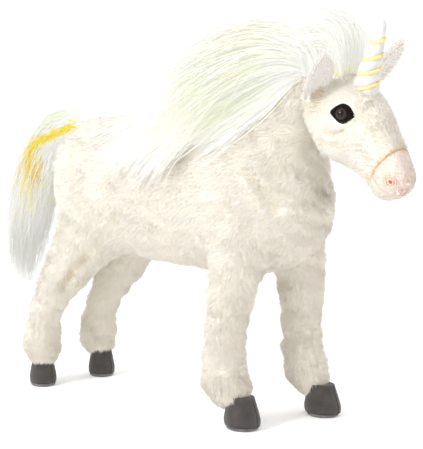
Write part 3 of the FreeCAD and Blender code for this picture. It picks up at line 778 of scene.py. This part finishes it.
def add_pile(part, form, roots, coat, shades, name=None):
    _, length, radius, lean, comb = coat
    outward = form.outward(roots)
    comb = head_way(np.array(comb)) if part in ("head", "muzzle") else np.array(comb)
    combed = comb + waves(roots, 22) * 0.35 + waves(roots, 8) * 0.22
    flat = unit(combed - outward * (combed * outward).sum(1, keepdims=True))
    angle = np.radians(lean + waves(roots, 15)[:, 0] * 8 + RNG.normal(size=len(roots)) * 8)[:, None]
    ways = unit(outward * np.cos(angle) + flat * np.sin(angle) + RNG.normal(size=roots.shape) * 0.12)
    lengths = length * RNG.uniform(0.65, 1.15, len(roots))
    tuft = (np.floor(roots / TUFT + waves(roots, 25) * 0.5) + 0.5) * TUFT
    pull = np.minimum(0.42, 0.075 * length)
    tips = roots + ways * lengths[:, None]
    inward = (tuft - roots) - outward * ((tuft - roots) * outward).sum(1, keepdims=True)
    tips += inward * pull
    run = tips - roots
    lengths, ways = np.linalg.norm(run, axis=1), unit(run)
    facing = unit(outward * 0.75 + ways * 0.15 + RNG.normal(size=roots.shape) * 0.20)
    slots = shade_of(roots, len(shades) - 1)
    # Painted shade: strands in the creases, round the ear roots and nostrils, and along the muzzle's seams
    # take the last, tan shade.
    slots = np.where(RNG.uniform(size=len(roots)) < painted_shade_chance(part, roots), len(shades) - 1, slots)
    order = RNG.permutation(len(roots))
    for number, chosen in enumerate(np.array_split(order, max(1, math.ceil(len(order) / CHUNK)))):
        sunk = roots[chosen] - outward[chosen] * STRAND_SINK
        points, faces, normals = spikes(sunk, ways[chosen], lengths[chosen],
                                        np.full(len(chosen), radius), facing[chosen])
        piece = make_mesh(f"{name or cover_node(part)}_pile_{number + 1}", points, faces, shades,
                          np.repeat(slots[chosen], 3), normals)
        attach(piece, part)


def kept_clear(points, centres, radius):
    """True where a strand would not grow under an eye, the horn or a nostril."""
    clear = np.ones(len(points), bool)
    for centre in centres:
        clear &= np.linalg.norm(points - centre, axis=1) > radius
    return clear


def make_pile():
    for part, (points, quads) in SKINS.items():
        form = FACE if part in ("head", "muzzle") else BODY
        roots = scatter(points, quads, COATS[part][0])
        if part == "head":
            roots = roots[kept_clear(roots, [EYES[side][0] for side in SIDES], EYE_RADIUS + EYE_CLEAR)]
            roots = roots[kept_clear(roots, [HORN_BASE], HORN_CLEAR)]
        if part == "muzzle":
            roots = roots[kept_clear(roots, [nostril_place(side) for side in SIDES], NOSTRIL_CLEAR)]
        add_pile(part, form, roots, COATS[part], MATERIALS["muzzle" if part == "muzzle" else "pile"])


def make_ruff():
    """Longer pile along the back of the cheeks, which closes the seam between head and neck."""
    points, quads = SKINS["head"]
    behind = layout_to_head(points[quads].mean(1))[:, 0] < RUFF_EDGE
    roots = scatter(*part_of(points, quads, behind), RUFF_COAT[0])
    add_pile("head", FACE, roots, RUFF_COAT, MATERIALS["pile"], name="head_ruff")


def make_cuffs():
    """The pile at the hem of each leg hangs over the top of the hoof."""
    for name in LEGS:
        points, quads = SKINS[name]
        foot = points[quads].mean(1)[:, 2] < CUFF_TOP
        roots = scatter(*part_of(points, quads, foot), CUFF_DENSITY)
        coat = (CUFF_DENSITY, CUFF_LENGTH[name.split("_")[0]], 0.55, 62, (0.0, 0.0, -1.0))
        add_pile(name, BODY, roots, coat, MATERIALS["pile"], name=f"{name}_cuff")


# ---------------------------------------------------------------- long hair

def clearance(points):
    """Distance to the body or the head, and the way out of the nearer one."""
    body, head = BODY.distance(points), FACE.distance(points)
    nearer = (head < body)[:, None]
    return np.minimum(body, head), np.where(nearer, FACE.outward(points), BODY.outward(points))


def grow(roots, ways_at, lengths, layers):
    """Lets strands grow step by step along ways_at(points, share), each kept over its own layer of air."""
    path, points, way = [roots], roots.copy(), None
    step = (lengths / (LOCK_STEPS - 1))[:, None]
    for number in range(1, LOCK_STEPS):
        share = number / (LOCK_STEPS - 1)
        wanted = unit(ways_at(points, share))
        way = wanted if way is None else unit(way * 0.45 + wanted * 0.55)
        points = points + way * step
        away, out = clearance(points)
        lift = np.clip(layers * min(1.0, share * 3) - away, 0.0, MOST_LIFT)
        points = points + out * lift[:, None]
        points[:, 1] = np.clip(points[:, 1], -HAIR_SIDE, HAIR_SIDE)
        path.append(points)
    return np.stack(path, 1)


def lock_mesh(name, paths, tint, part, node):
    """One piece of long hair from its strands."""
    share = np.linspace(0, 1, paths.shape[1])
    thick = HAIR_RADIUS * np.clip(1.15 - share ** 3, 0.12, 1.0) * np.minimum(1.0, 0.5 + share * 4)
    thick = thick[None] * RNG.uniform(0.7, 1.25, (len(paths), 1))
    turn = RNG.normal(size=(len(paths), 3))
    points, faces, ring = tubes(paths, thick, 3, turn)
    _, out = clearance(paths.reshape(-1, 3))
    bulk = unit(out.reshape(paths.shape) + np.array([0.0, -0.25, 0.55]))
    normals = unit(np.repeat(bulk[:, :, None], 3, 2).reshape(-1, 3) * 0.9 + ring * 0.22)
    centres = ((paths[:, :-1] + paths[:, 1:]) / 2).reshape(-1, 3)
    slots = np.repeat(tint(centres, np.repeat(np.arange(len(paths)), LOCK_STEPS - 1)), 3)
    piece = make_mesh(name, points, faces, MATERIALS["hair"], slots, normals)
    attach(piece, part)
    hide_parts(node)


def patch(points, centre, reach):
    """How strongly a point belongs to a tinted patch, in the side view."""
    offset = (points[:, [0, 2]] - np.array(centre, float)) / np.array(reach, float)
    return np.exp(-(offset ** 2).sum(1))


def dithered(points, strands, chances):
    """Slot numbers from chances {slot: strength}. One draw per strand keeps its length one colour."""
    draw = RNG.uniform(size=strands.max() + 1)[strands] + RNG.normal(size=len(points)) * 0.02
    slots = np.where(draw > 0.72, MIST, SNOW)
    floor = np.zeros(len(points))
    for slot, strength in chances.items():
        hit = (draw > floor) & (draw < floor + strength)
        slots = np.where(hit, slot, slots)
        floor = floor + strength
    return slots


def mane_tint(points, strands):
    return dithered(points, strands, {
        GREEN: 0.65 * patch(points, (62, 350), (32, 24)) + 0.5 * patch(points, (118, 356), (16, 30))
        + 0.4 * patch(points, (88, 316), (44, 20)),
        CREAM: 0.75 * patch(points, (98, 384), (36, 18)) + 0.45 * patch(points, (50, 310), (50, 34)),
        STRAW: 0.08 * patch(points, (92, 350), (18, 16)) + 0.6 * patch(points, (194, 346), (14, 12)),
    })


def crest_places(count, across):
    """Roots along the crest, and how far towards the head each is."""
    crest = spline([(x, 0, z) for x, z in CREST], 60)
    at = RNG.uniform(0, 1, count) ** 0.85
    roots = crest[(at * 59).astype(int)] + RNG.normal(size=(count, 3)) * 1.5
    roots[:, 1] += across * 9
    return clearance_drop(roots), at


def neck_mane():
    """Hair from the crest that stands up and sweeps back."""
    count = NECK_LOCKS
    across = RNG.uniform(-0.85, 0.7, count)
    roots, at = crest_places(count, across)
    rise = (1 - np.abs(across)) ** 0.6 * RNG.uniform(0.2, 1.0, count) * (0.58 + 0.40 * at)
    turnover = 0.20 + 0.52 * rise
    lengths = (100 + 85 * at) * RNG.uniform(0.75, 1.1, count)
    wisps = waves(roots, 26) * 0.15 + RNG.normal(size=roots.shape) * FRIZZ

    def ways_at(points, share):
        over = smoothstep(share / turnover)[:, None]
        up = np.stack([0.06 - 0.45 * (1 - at), across * 0.7 - 0.08, 0.5 + 1.1 * rise], 1)
        fall = 0.46 + 0.30 * share
        back = np.stack([np.full(count, -0.84), across * 0.20 - 0.06, np.full(count, -fall)], 1)
        return unit(up) * (1 - over) + unit(back) * over + wisps + waves_fixed(points) * 0.10

    paths = grow(roots, ways_at, lengths, RNG.uniform(1.0, 9.0, count))
    lock_mesh("neck_mane_crest", paths, mane_tint, "neck", "neck_mane")


def neck_curtain():
    """The hair that falls from the crest over the right side of the neck, then sweeps back."""
    count = CURTAIN_LOCKS
    across = RNG.uniform(-1.6, -0.5, count)
    roots, at = crest_places(count, across)
    reach = RNG.uniform(0, 1, count)
    lengths = (70 + 62 * reach) * (0.80 + 0.35 * at) * RNG.uniform(0.75, 1.08, count)
    wisps = waves(roots, 24) * 0.15 + RNG.normal(size=roots.shape) * FRIZZ

    def ways_at(points, share):
        over = smoothstep(share / (0.22 + 0.48 * reach))[:, None]
        down = np.stack([-0.35 - 0.35 * (1 - at), np.full(count, -0.70), -0.10 - 0.85 * reach], 1)
        back = np.stack([np.full(count, -0.80), np.full(count, -0.06), np.full(count, -0.52)], 1)
        return unit(down) * (1 - over) + unit(back) * over + wisps + waves_fixed(points) * 0.10

    paths = grow(roots, ways_at, lengths, RNG.uniform(1.0, 10.0, count))
    lock_mesh("neck_mane_curtain", paths, mane_tint, "neck", "neck_mane")


def neck_sweep():
    """The middle layer, which closes the fold between the standing hair and the curtain."""
    count = SWEEP_LOCKS
    across = RNG.uniform(-1.15, -0.1, count)
    roots, at = crest_places(count, across)
    rise = RNG.uniform(0.0, 1.0, count)
    lengths = (84 + 60 * at) * RNG.uniform(0.70, 1.08, count)
    wisps = waves(roots, 24) * 0.15 + RNG.normal(size=roots.shape) * FRIZZ

    def ways_at(points, share):
        over = smoothstep(share / (0.25 + 0.3 * rise))[:, None]
        out = np.stack([-0.25 - 0.35 * (1 - at), np.full(count, -0.65), -0.15 + 0.85 * rise], 1)
        back = np.stack([np.full(count, -0.84), -0.10 - 0.06 * rise, -0.42 - 0.20 * rise - 0.2 * share], 1)
        return unit(out) * (1 - over) + unit(back) * over + wisps + waves_fixed(points) * 0.10

    paths = grow(roots, ways_at, lengths, RNG.uniform(3.0, 15.0, count))
    lock_mesh("neck_mane_sweep", paths, mane_tint, "neck", "neck_mane")


def clearance_drop(points):
    away, out = clearance(points)
    return points - out * (away + 0.5)[:, None]


def waves_fixed(points):
    """The same soft field at every step of a strand, so that neighbours bend together."""
    return np.stack([np.sin(points @ wave + phase) for wave, phase in DRIFT], 1)


def withers_mane():
    """Long locks that lie back over the withers and the right flank."""
    count = WITHERS_LOCKS
    x = RNG.uniform(6, 72, count)
    y = RNG.uniform(-16, 8, count)
    roots = clearance_drop(np.stack([x, y, np.full(count, 312.0)], 1))
    lengths = RNG.uniform(62, 128, count)
    low = RNG.uniform(0, 1, count)
    wisps = waves(roots, 22) * 0.16 + RNG.normal(size=roots.shape) * FRIZZ

    def ways_at(points, share):
        fall = np.stack([-0.48 - 0.40 * low, -0.85 + 0.55 * low, -0.70 + 0.35 * low - 0.1 * share], 1)
        return fall + wisps + waves_fixed(points) * 0.12

    paths = grow(roots, ways_at, lengths, RNG.uniform(1.0, 7.0, count))
    lock_mesh("withers_mane_hair", paths, mane_tint, "trunk", "withers_mane")


def forelock():
    """The hair between the ears, which rises behind the horn and sweeps back into the mane."""
    count = FORELOCK_LOCKS
    x, y = RNG.uniform(8, 60, count), RNG.uniform(-17, 17, count)
    roots = clearance_drop(head_to_layout(np.stack([x, y, np.full(count, 352.0)], 1)))
    lengths = RNG.uniform(45, 92, count)
    side = y / 17
    wisps = waves(roots, 20) * 0.15 + RNG.normal(size=roots.shape) * FRIZZ

    def ways_at(points, share):
        over = smoothstep(share / 0.95)
        up = np.stack([0.05 - 0 * x, side * 0.25, 1.0 + 0 * x], 1)
        back = np.stack([-0.95 + 0 * x, side * 0.2 - 0.08, 0.25 - 0.5 * share + 0 * x], 1)
        return up * (1 - over) + back * over + wisps

    paths = grow(roots, ways_at, lengths, RNG.uniform(1.0, 5.0, count))
    lock_mesh("forelock_hair", paths, mane_tint, "head", "forelock")


def tail_tint(points, strands):
    x, z = points[:, 0], points[:, 2]
    near = smoothstep((6 - points[:, 1]) / 8)
    streak = np.exp(-((z - (288 - 0.46 * (-155 - x))) / 5.5) ** 2) * (x < -150) * (x > -212)
    top = smoothstep((z - (300 - 0.0125 * (x + 140) ** 2 * 0.62)) / 5) * (x > -196)
    low = smoothstep((170 - z) / 60)
    return dithered(points, strands, {
        GREEN: 0.85 * top,
        YELLOW: 0.95 * streak * near,
        ORANGE: 0.75 * patch(points, (-205, 243), (12, 19)) * near,
        STRAW: 0.45 * patch(points, (-214, 222), (16, 28)),
        ASH: 0.55 * low,
    })


def tail():
    """The tail's strands follow its line, and swell and gather with it."""
    count = TAIL_LOCKS
    end = RNG.uniform(0.62, 1.0, count)
    share = np.linspace(0, 1, LOCK_STEPS)
    line = spline([(x, 0, z) for x, z in TAIL_LINE], 200)
    at = (end[:, None] * share[None])
    place = (at * 199).astype(int)
    centre = line[place]
    way = unit(np.gradient(line, axis=0))[place]
    up = unit(np.cross(way, np.array([0.0, -1.0, 0.0])))
    girth = np.interp(at, [a for a, _ in TAIL_GIRTH], [g for _, g in TAIL_GIRTH])
    turn = RNG.uniform(0, 2 * np.pi, count)[:, None]
    turn = turn + 0.5 * np.sin(share * 5 + RNG.uniform(0, 6, (count, 1)))
    reach = (RNG.uniform(0, 1, count) ** 0.5)[:, None]
    loose = RNG.normal(size=(count, 1, 3)) * (share ** 2)[None, :, None] * np.array([8.0, 6.0, 9.0])
    offset = (np.cos(turn) * girth * reach)[..., None] * up
    offset += (np.sin(turn) * girth * 0.8 * reach)[..., None] * np.array([0.0, 1.0, 0.0])
    clump = waves(centre[:, -1] + offset[:, -1], 14)[:, None] * (share ** 2)[None, :, None] * 5
    paths = centre + offset + loose + clump
    paths[:, :, 0] = np.maximum(paths[:, :, 0], TAIL_BACK + RNG.uniform(0, 4, (count, 1)))
    paths[:, :, 1] = np.clip(paths[:, :, 1], -TAIL_SIDE, TAIL_SIDE)
    for number in range(LOCK_STEPS):
        away, out = clearance(paths[:, number])
        paths[:, number] += out * np.clip((1.0 if number else -1.0) - away, 0, 14)[:, None]
    lock_mesh("tail_locks", paths, tail_tint, "tail", "tail_hair")
    dock, faces = cord_mesh(spline([(x, 0, z) for x, z in TAIL_LINE[:3]], 16), 6.0, 16)
    piece = make_mesh("tail_dock", dock, faces, [MATERIALS["plush_base"]])
    attach(piece, "tail")
    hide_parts("tail_stump")


# ---------------------------------------------------------------- face, ears and horn

def nostril_place(side):
    x, y, z = NOSTRIL
    return FACE.drop(head_to_layout(np.array([[x, y * SIDES[side], z]])))[0]


def finish_piece(name, parts, material, node, body="head", origin=None):
    """One face, horn or hoof piece: material is a material or the name of one."""
    made = MATERIALS[material] if isinstance(material, str) else material
    piece = make_mesh(name, *parts, [made], origin=origin)
    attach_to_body(piece, body)
    if node:
        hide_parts(*([node] if isinstance(node, str) else node))
    return piece


def eye_frame(side):
    """The middle of an eye, and its outward, forward and upward ways."""
    centre = head_to_layout(np.array(EYE_PLACE) * [1.0, SIDES[side], 1.0])
    out = unit(head_way(np.array([EYE_AIM[0], EYE_AIM[1] * SIDES[side], EYE_AIM[2]])))
    ahead = head_way(np.array(EYE_LINE))
    ahead = unit(ahead - out * (ahead @ out))
    up = np.cross(out, ahead)
    return centre, out, ahead, up if up[2] > 0 else -up


def make_eye(side):
    centre, out, ahead, up = EYES[side]
    ball = centre - out * 2.2
    rows = []
    for height in np.linspace(-0.55, 1, 20):
        wide = EYE_RADIUS * math.sin(math.acos(min(0.9999, height)))
        rows.append(oval_ring(ball + out * EYE_RADIUS * height, ahead, up, wide, wide, corners=36))
    finish_piece(f"eye_{side}_ball", loft(rows), eye_material(out), f"eye_{side}",
                 origin=ball)
    angle = np.linspace(0, 2 * np.pi, 48, endpoint=False)
    pinch = 1 + 0.25 * np.cos(angle) ** 4
    narrow = 1 - 0.30 * np.cos(angle) ** 2
    rows = []
    tall = np.where(np.sin(angle) > 0, LID_HIGH[0], LID_HIGH[1]) * narrow
    opening = (np.cos(angle) * LID_SHUT[0])[:, None] * ahead + (np.sin(angle) * LID_SHUT[1])[:, None] * up
    dome = np.sqrt(np.maximum(EYE_RADIUS ** 2 - np.linalg.norm(opening, axis=1) ** 2, 0.0))
    inner = ball + opening + out * (dome + 0.5)[:, None]
    outer = (np.cos(angle) * LID_WIDE * pinch)[:, None] * ahead + (np.sin(angle) * tall)[:, None] * up
    outer = FACE.drop(centre + outer - ahead * LID_BACK, 0.9)
    for share in np.linspace(0.0, 1.0, 8):
        rows.append(inner * (1 - share) + outer * share + out * LID_ROLL * math.sin(math.pi * share))
    rows.append(FACE.drop(rows[-1], -0.8))
    finish_piece(f"eyelid_{side}_leather", loft(rows, capped=False), "lid_leather", f"eyelid_{side}")


def ear_sheet(side, layer, inset):
    """A leaf rolled into a cup, as a grid of points. layer moves it in along its own normals."""
    sign = SIDES[side]
    root = head_to_layout(np.array([EAR_ROOT[0], EAR_ROOT[1] * sign, EAR_ROOT[2]]))
    tip = EAR_TIPS[side]
    tip = head_to_layout(np.array([tip[0], tip[1] * sign, tip[2]]))
    up = unit(tip - root)
    front = head_way(np.array([EAR_FRONT[0], EAR_FRONT[1] * sign, EAR_FRONT[2]]))
    front = unit(front - up * (front @ up))
    across = np.cross(up, front)
    share = np.linspace(0, 1, 18)
    leaf = 0.58 + 0.75 * share - 1.33 * share ** 3 + 0.35 * share ** 6
    wide = EAR_WIDE * leaf * np.sqrt(1 - share ** 8 + 0.001)
    wide = np.maximum(wide - inset, 0.6)
    roll = np.linspace(-1, 1, 17)
    curl = EAR_CUP * (1.35 - 0.65 * share)
    rows = []
    for s, w, c in zip(share, wide, curl):
        bend = roll * c
        radius = (w / max(c, 0.2))
        deep = (1 - np.cos(bend)) * radius - layer
        sheet = (np.sin(bend) * radius)[:, None] * across + deep[:, None] * front
        rows.append(root + up * np.linalg.norm(tip - root) * s - front * 3.0 + sheet)
    return np.array(rows)


def make_ear(side):
    outer, inner = ear_sheet(side, 2.0, 0.0), ear_sheet(side, 0.2, 0.6)
    rims = np.concatenate([outer, inner[:, ::-1]], 1)
    finish_piece(f"ear_{side}_plush", (rims.reshape(-1, 3), grid_faces(rims.shape[0], rims.shape[1], True)),
                 "plush_base", f"ear_{side}")
    lining = ear_sheet(side, -0.3, 1.8)
    finish_piece(f"ear_lining_{side}_cloth", (lining.reshape(-1, 3), grid_faces(*lining.shape[:2], False)),
                 "lining", f"ear_lining_{side}")
    back = outer.reshape(-1, 3), grid_faces(*outer.shape[:2], False)
    edges = np.concatenate([outer[:, 0], outer[:, -1]])
    rim = edges[RNG.integers(0, len(edges), EAR_RIM_STRANDS)] + RNG.normal(size=(EAR_RIM_STRANDS, 3)) * 1.1
    roots = np.concatenate([scatter(*back, 3.0), rim])
    middle = outer.mean(1, keepdims=True) + (inner - outer).mean(1, keepdims=True) * 4
    rows = np.argmin(np.linalg.norm(roots[:, None] - middle[None, :, 0], axis=2), axis=1)
    out = unit(roots - middle[rows, 0])
    up = unit(outer[-1].mean(0) - outer[0].mean(0))
    ways = unit(out * 0.55 + up * 0.85 + RNG.normal(size=roots.shape) * 0.2)
    facing = unit(out * 0.25 + up * 0.5 + np.array([0.0, -0.2, 0.4]) + RNG.normal(size=roots.shape) * 0.2)
    lengths = RNG.uniform(*EAR_FUZZ, len(roots))
    points, faces, normals = spikes(roots, ways, lengths, np.full(len(roots), 0.4), facing)
    slots = np.repeat(RNG.integers(0, len(LINING_SHADES), len(roots)), 3)
    piece = make_mesh(f"ear_{side}_pile", points, faces, MATERIALS["down"], slots, normals)
    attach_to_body(piece, "head")
    down = scatter(lining.reshape(-1, 3), grid_faces(*lining.shape[:2], False), 3.2)
    front = unit((inner - outer).mean((0, 1)))
    ways = unit(front * 0.5 + up * 0.8 + RNG.normal(size=down.shape) * 0.25)
    facing = unit(front + RNG.normal(size=down.shape) * 0.3)
    lengths = RNG.uniform(*LINING_FUZZ, len(down))
    points, faces, normals = spikes(down, ways, lengths, np.full(len(down), 0.35), facing)
    slots = np.repeat(RNG.integers(0, len(LINING_SHADES), len(down)), 3)
    piece = make_mesh(f"ear_lining_{side}_down", points, faces, MATERIALS["down"], slots, normals)
    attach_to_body(piece, "head")


def horn_axis():
    foot, top = head_to_layout(np.array(HORN_FOOT)), head_to_layout(np.array(HORN_TOP))
    up = unit(top - foot)
    ahead = unit(np.cross(np.array([0.0, 1.0, 0.0]), up))
    return foot, up, ahead, np.cross(up, ahead)


def horn_radius(place):
    return np.interp(place, [s for s, _ in HORN_ROWS], [r for _, r in HORN_ROWS])


def band_rise(angle):
    """How much higher a slanting band runs at an angle round the horn, per unit of radius."""
    return math.tan(math.radians(BAND_TILT)) * np.sin(angle + 0.9)


def make_horn():
    """White cloth, puffed between the turns of a yellow cord."""
    foot, up, ahead, across = horn_axis()
    angle = np.linspace(0, 2 * np.pi, 48, endpoint=False)
    rows = []
    for place in np.linspace(-2, HORN_ROWS[-1][0], 110):
        wide = float(horn_radius(place))
        slanted = place - band_rise(angle) * wide
        near = np.min(np.abs(slanted[:, None] - np.array(BAND_PLACES)), axis=1)
        radius = wide * (1.0 + 0.06 - (PUFF + 0.06) * np.exp(-(near / 2.6) ** 2))
        rows.append(foot + up * place + (np.cos(angle) * radius)[:, None] * ahead
                    + (np.sin(angle) * radius)[:, None] * across)
    finish_piece("horn_skin", loft(rows), "horn_white", ["horn_cover", "horn_filling"])
    bands = []
    for place in BAND_PLACES:
        wide = float(horn_radius(place)) * (1 - PUFF) + 0.45
        turn = np.linspace(0, 2 * np.pi, 49)
        line = foot + up * (place + band_rise(turn) * wide)[:, None]
        line = line + (np.cos(turn) * wide)[:, None] * ahead + (np.sin(turn) * wide)[:, None] * across
        bands.append(cord_mesh(line, BAND_RADIUS, 8))
    finish_piece("horn_cord_turns", join_parts(bands), "horn_yellow", "horn_cord")


def make_muzzle_details():
    start, up_way = head_to_layout(SNOUT_START), head_way(SNOUT_UP)
    middle = start + head_way(SNOUT_WAY) * MUZZLE_SEAM
    angle = np.linspace(math.radians(-35), math.radians(215), 60)
    sideways = head_way(np.array([0.0, 1.0, 0.0]))
    ring = middle + np.cos(angle)[:, None] * 22 * sideways + np.sin(angle)[:, None] * 22 * up_way
    for _ in range(3):
        ring = FACE.drop(ring, 0.3)
        along, _ = along_snout(ring)
        ring -= head_way(SNOUT_WAY) * (along - MUZZLE_SEAM)[:, None]
    finish_piece("muzzle_seam", cord_mesh(ring, 0.9, 8), "seam_thread", None)
    rings, darks = [], []
    for side in SIDES:
        place = nostril_place(side)
        out = FACE.outward(place[None])[0]
        across = unit(np.cross(out, up_way))
        rise = np.cross(across, out)
        turn = np.linspace(0, 2 * np.pi, 33)
        for wide, high, thick in ((5.2, 4.6, 0.65), (2.5, 2.1, 0.55)):
            line = place + np.cos(turn)[:, None] * wide * across + np.sin(turn)[:, None] * high * rise
            rings.append(cord_mesh(FACE.drop(line, 0.9), thick, 8))
        rows = [oval_ring(place + out * lift, across, rise, wide, wide * 0.85, corners=16)
                for lift, wide in ((-0.5, 1.9), (0.9, 1.7), (1.3, 0.9))]
        darks.append(loft(rows))
    finish_piece("nostril_rings", join_parts(rings), "nostril_thread", "nostril_stitches")
    finish_piece("nostril_dots", join_parts(darks), "nostril_dark", None)
    line = spline([(x, y * sign, z) for sign in (-1, 1) for x, y, z in MOUTH[::-sign]], 60)
    mouth = FACE.drop(head_to_layout(line), 0.5)
    finish_piece("mouth_line", cord_mesh(mouth, 0.7, 8), "mouth_thread", "mouth_stitch")


# ---------------------------------------------------------------- hooves

def make_hoof(name):
    """Stuffed suede: a rounded hoof with a seam down its front, and its sole panel."""
    low, high = (np.array(corner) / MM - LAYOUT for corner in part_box(f"{name}_hoof"))
    sole_low, sole_high = (np.array(corner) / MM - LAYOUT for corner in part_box(f"{name}_sole"))
    middle, half = (sole_low + sole_high) / 2, (sole_high - sole_low) / 2
    wide = (high - low) / 2
    centre_top = np.array([(low[0] + high[0]) / 2, middle[1], high[2]])
    ways = np.array([1.0, 0.0, 0.0]), np.array([0.0, 1.0, 0.0])
    rows = []
    for share, size in HOOF_ROWS:
        height = sole_high[2] - HOOF_OVERLAP + (high[2] - sole_high[2] + HOOF_TUCK) * share
        centre = middle * (1 - share) + centre_top * share
        centre[2] = height
        rows.append(oval_ring(centre, *ways, wide[0] * size, wide[1] * size, HOOF_POWER))
    body = f"{name}_leg"
    finish_piece(f"{name}_hoof_suede", loft(rows), "hoof_suede", f"{name}_hoof",
                 body)
    sole = [oval_ring([middle[0], middle[1], height], *ways, half[0] * size, half[1] * size, HOOF_POWER)
            for height, size in ((0.0, 0.90), (1.2, 0.99), (sole_high[2] - 0.6, 1.0), (sole_high[2], 0.97))]
    finish_piece(f"{name}_sole_panel", loft(sole), "sole_suede", f"{name}_sole",
                 body)
    seam = np.array([row[0] + np.array([0.15, 0.0, 0.0]) for row in rows])
    rim_centre = [middle[0], middle[1], sole_high[2] + 0.2]
    rim = oval_ring(rim_centre, *ways, wide[0] * RIM_SIZE, wide[1] * RIM_SIZE, HOOF_POWER)
    rim = np.concatenate([rim, rim[:1]])
    parts = join_parts([cord_mesh(seam, 0.45, 6), cord_mesh(rim, 0.5, 6)])
    finish_piece(f"{name}_hoof_seams", parts, "hoof_seam", None, body)


def finish_wires():
    """The hidden wires and washers stay as the frame has them, in steel and hard plastic."""
    for node, piece in frame["nodes"].items():
        if node.endswith("_wire") or "washer" in node:
            piece.data.materials.clear()
            piece.data.materials.append(MATERIALS["wire_steel" if node.endswith("_wire") else "washer"])


# ---------------------------------------------------------------- stage

def make_stage():
    corners = ((-1.0, -1.0, 0.0), (1.0, -1.0, 0.0), (1.0, 1.0, 0.0), (-1.0, 1.0, 0.0))
    points = np.array(corners) * FLOOR_HALF - LAYOUT
    floor = make_mesh("floor", points, [[0, 1, 2, 3]], [MATERIALS["floor"]])
    world = bpy.data.worlds.new("studio")
    bpy.context.scene.world = world
    world.use_nodes = True
    nodes, links = world.node_tree.nodes, world.node_tree.links
    back = nodes["Background"]
    seen = nodes.new("ShaderNodeLightPath")
    strength = nodes.new("ShaderNodeMapRange")
    strength.inputs["To Min"].default_value = WORLD_LIGHT
    strength.inputs["To Max"].default_value = 1.0
    links.new(seen.outputs["Is Camera Ray"], strength.inputs["Value"])
    links.new(strength.outputs["Result"], back.inputs["Strength"])
    back.inputs["Color"].default_value = (1.0, 1.0, 1.0, 1.0)
    for name, place, size, power in LIGHTS:
        light = bpy.data.lights.new(name, "AREA")
        light.size, light.energy = size, power
        lamp = bpy.data.objects.new(name, light)
        bpy.context.scene.collection.objects.link(lamp)
        lamp.location = place
        aim = Vector(place) - Vector(CAMERA_TARGET)
        lamp.rotation_euler = aim.to_track_quat("Z", "Y").to_euler()
    camera = bpy.data.cameras.new("camera")
    camera.lens, camera.sensor_width, camera.clip_end = CAMERA_LENS, 36.0, 20.0
    holder = bpy.data.objects.new("camera", camera)
    bpy.context.scene.collection.objects.link(holder)
    turn, rise = math.radians(CAMERA_TURN), math.radians(CAMERA_RISE)
    back_way = Vector((math.sin(turn) * math.cos(rise), -math.cos(turn) * math.cos(rise), math.sin(rise)))
    holder.location = Vector(CAMERA_TARGET) + back_way * CAMERA_DISTANCE
    holder.rotation_euler = back_way.to_track_quat("Z", "Y").to_euler()
    bpy.context.scene.camera = holder
    bpy.context.scene.view_settings.view_transform = "Standard"


# ---------------------------------------------------------------- build

RNG = np.random.default_rng(SEED)
DRIFT = [(RNG.normal(size=3) * 0.04, RNG.uniform(0, 6.3)) for _ in range(3)]
MATERIALS = make_materials()
SKINS = {}
PUCKERS = [(RNG.normal(size=3) * 0.16, RNG.uniform(0, 6.3)) for _ in range(4)]
BODY = Form(body_field, BODY_ROOM, BODY_VOXEL)
FACE = Form(head_field, HEAD_ROOM, HEAD_VOXEL)
EYES = {side: eye_frame(side) for side in SIDES}
HORN_BASE = head_to_layout(np.array(HORN_FOOT))

make_skins(BODY, body_labels, ["trunk", "neck", *LEGS])
make_skins(FACE, head_labels, ["head", "muzzle"])
make_pile()
make_ruff()
make_cuffs()
neck_mane()
neck_curtain()
neck_sweep()
withers_mane()
forelock()
tail()
for side in SIDES:
    make_eye(side)
    make_ear(side)
make_horn()
make_muzzle_details()
for leg in LEGS:
    make_hoof(leg)
finish_wires()
make_stage()
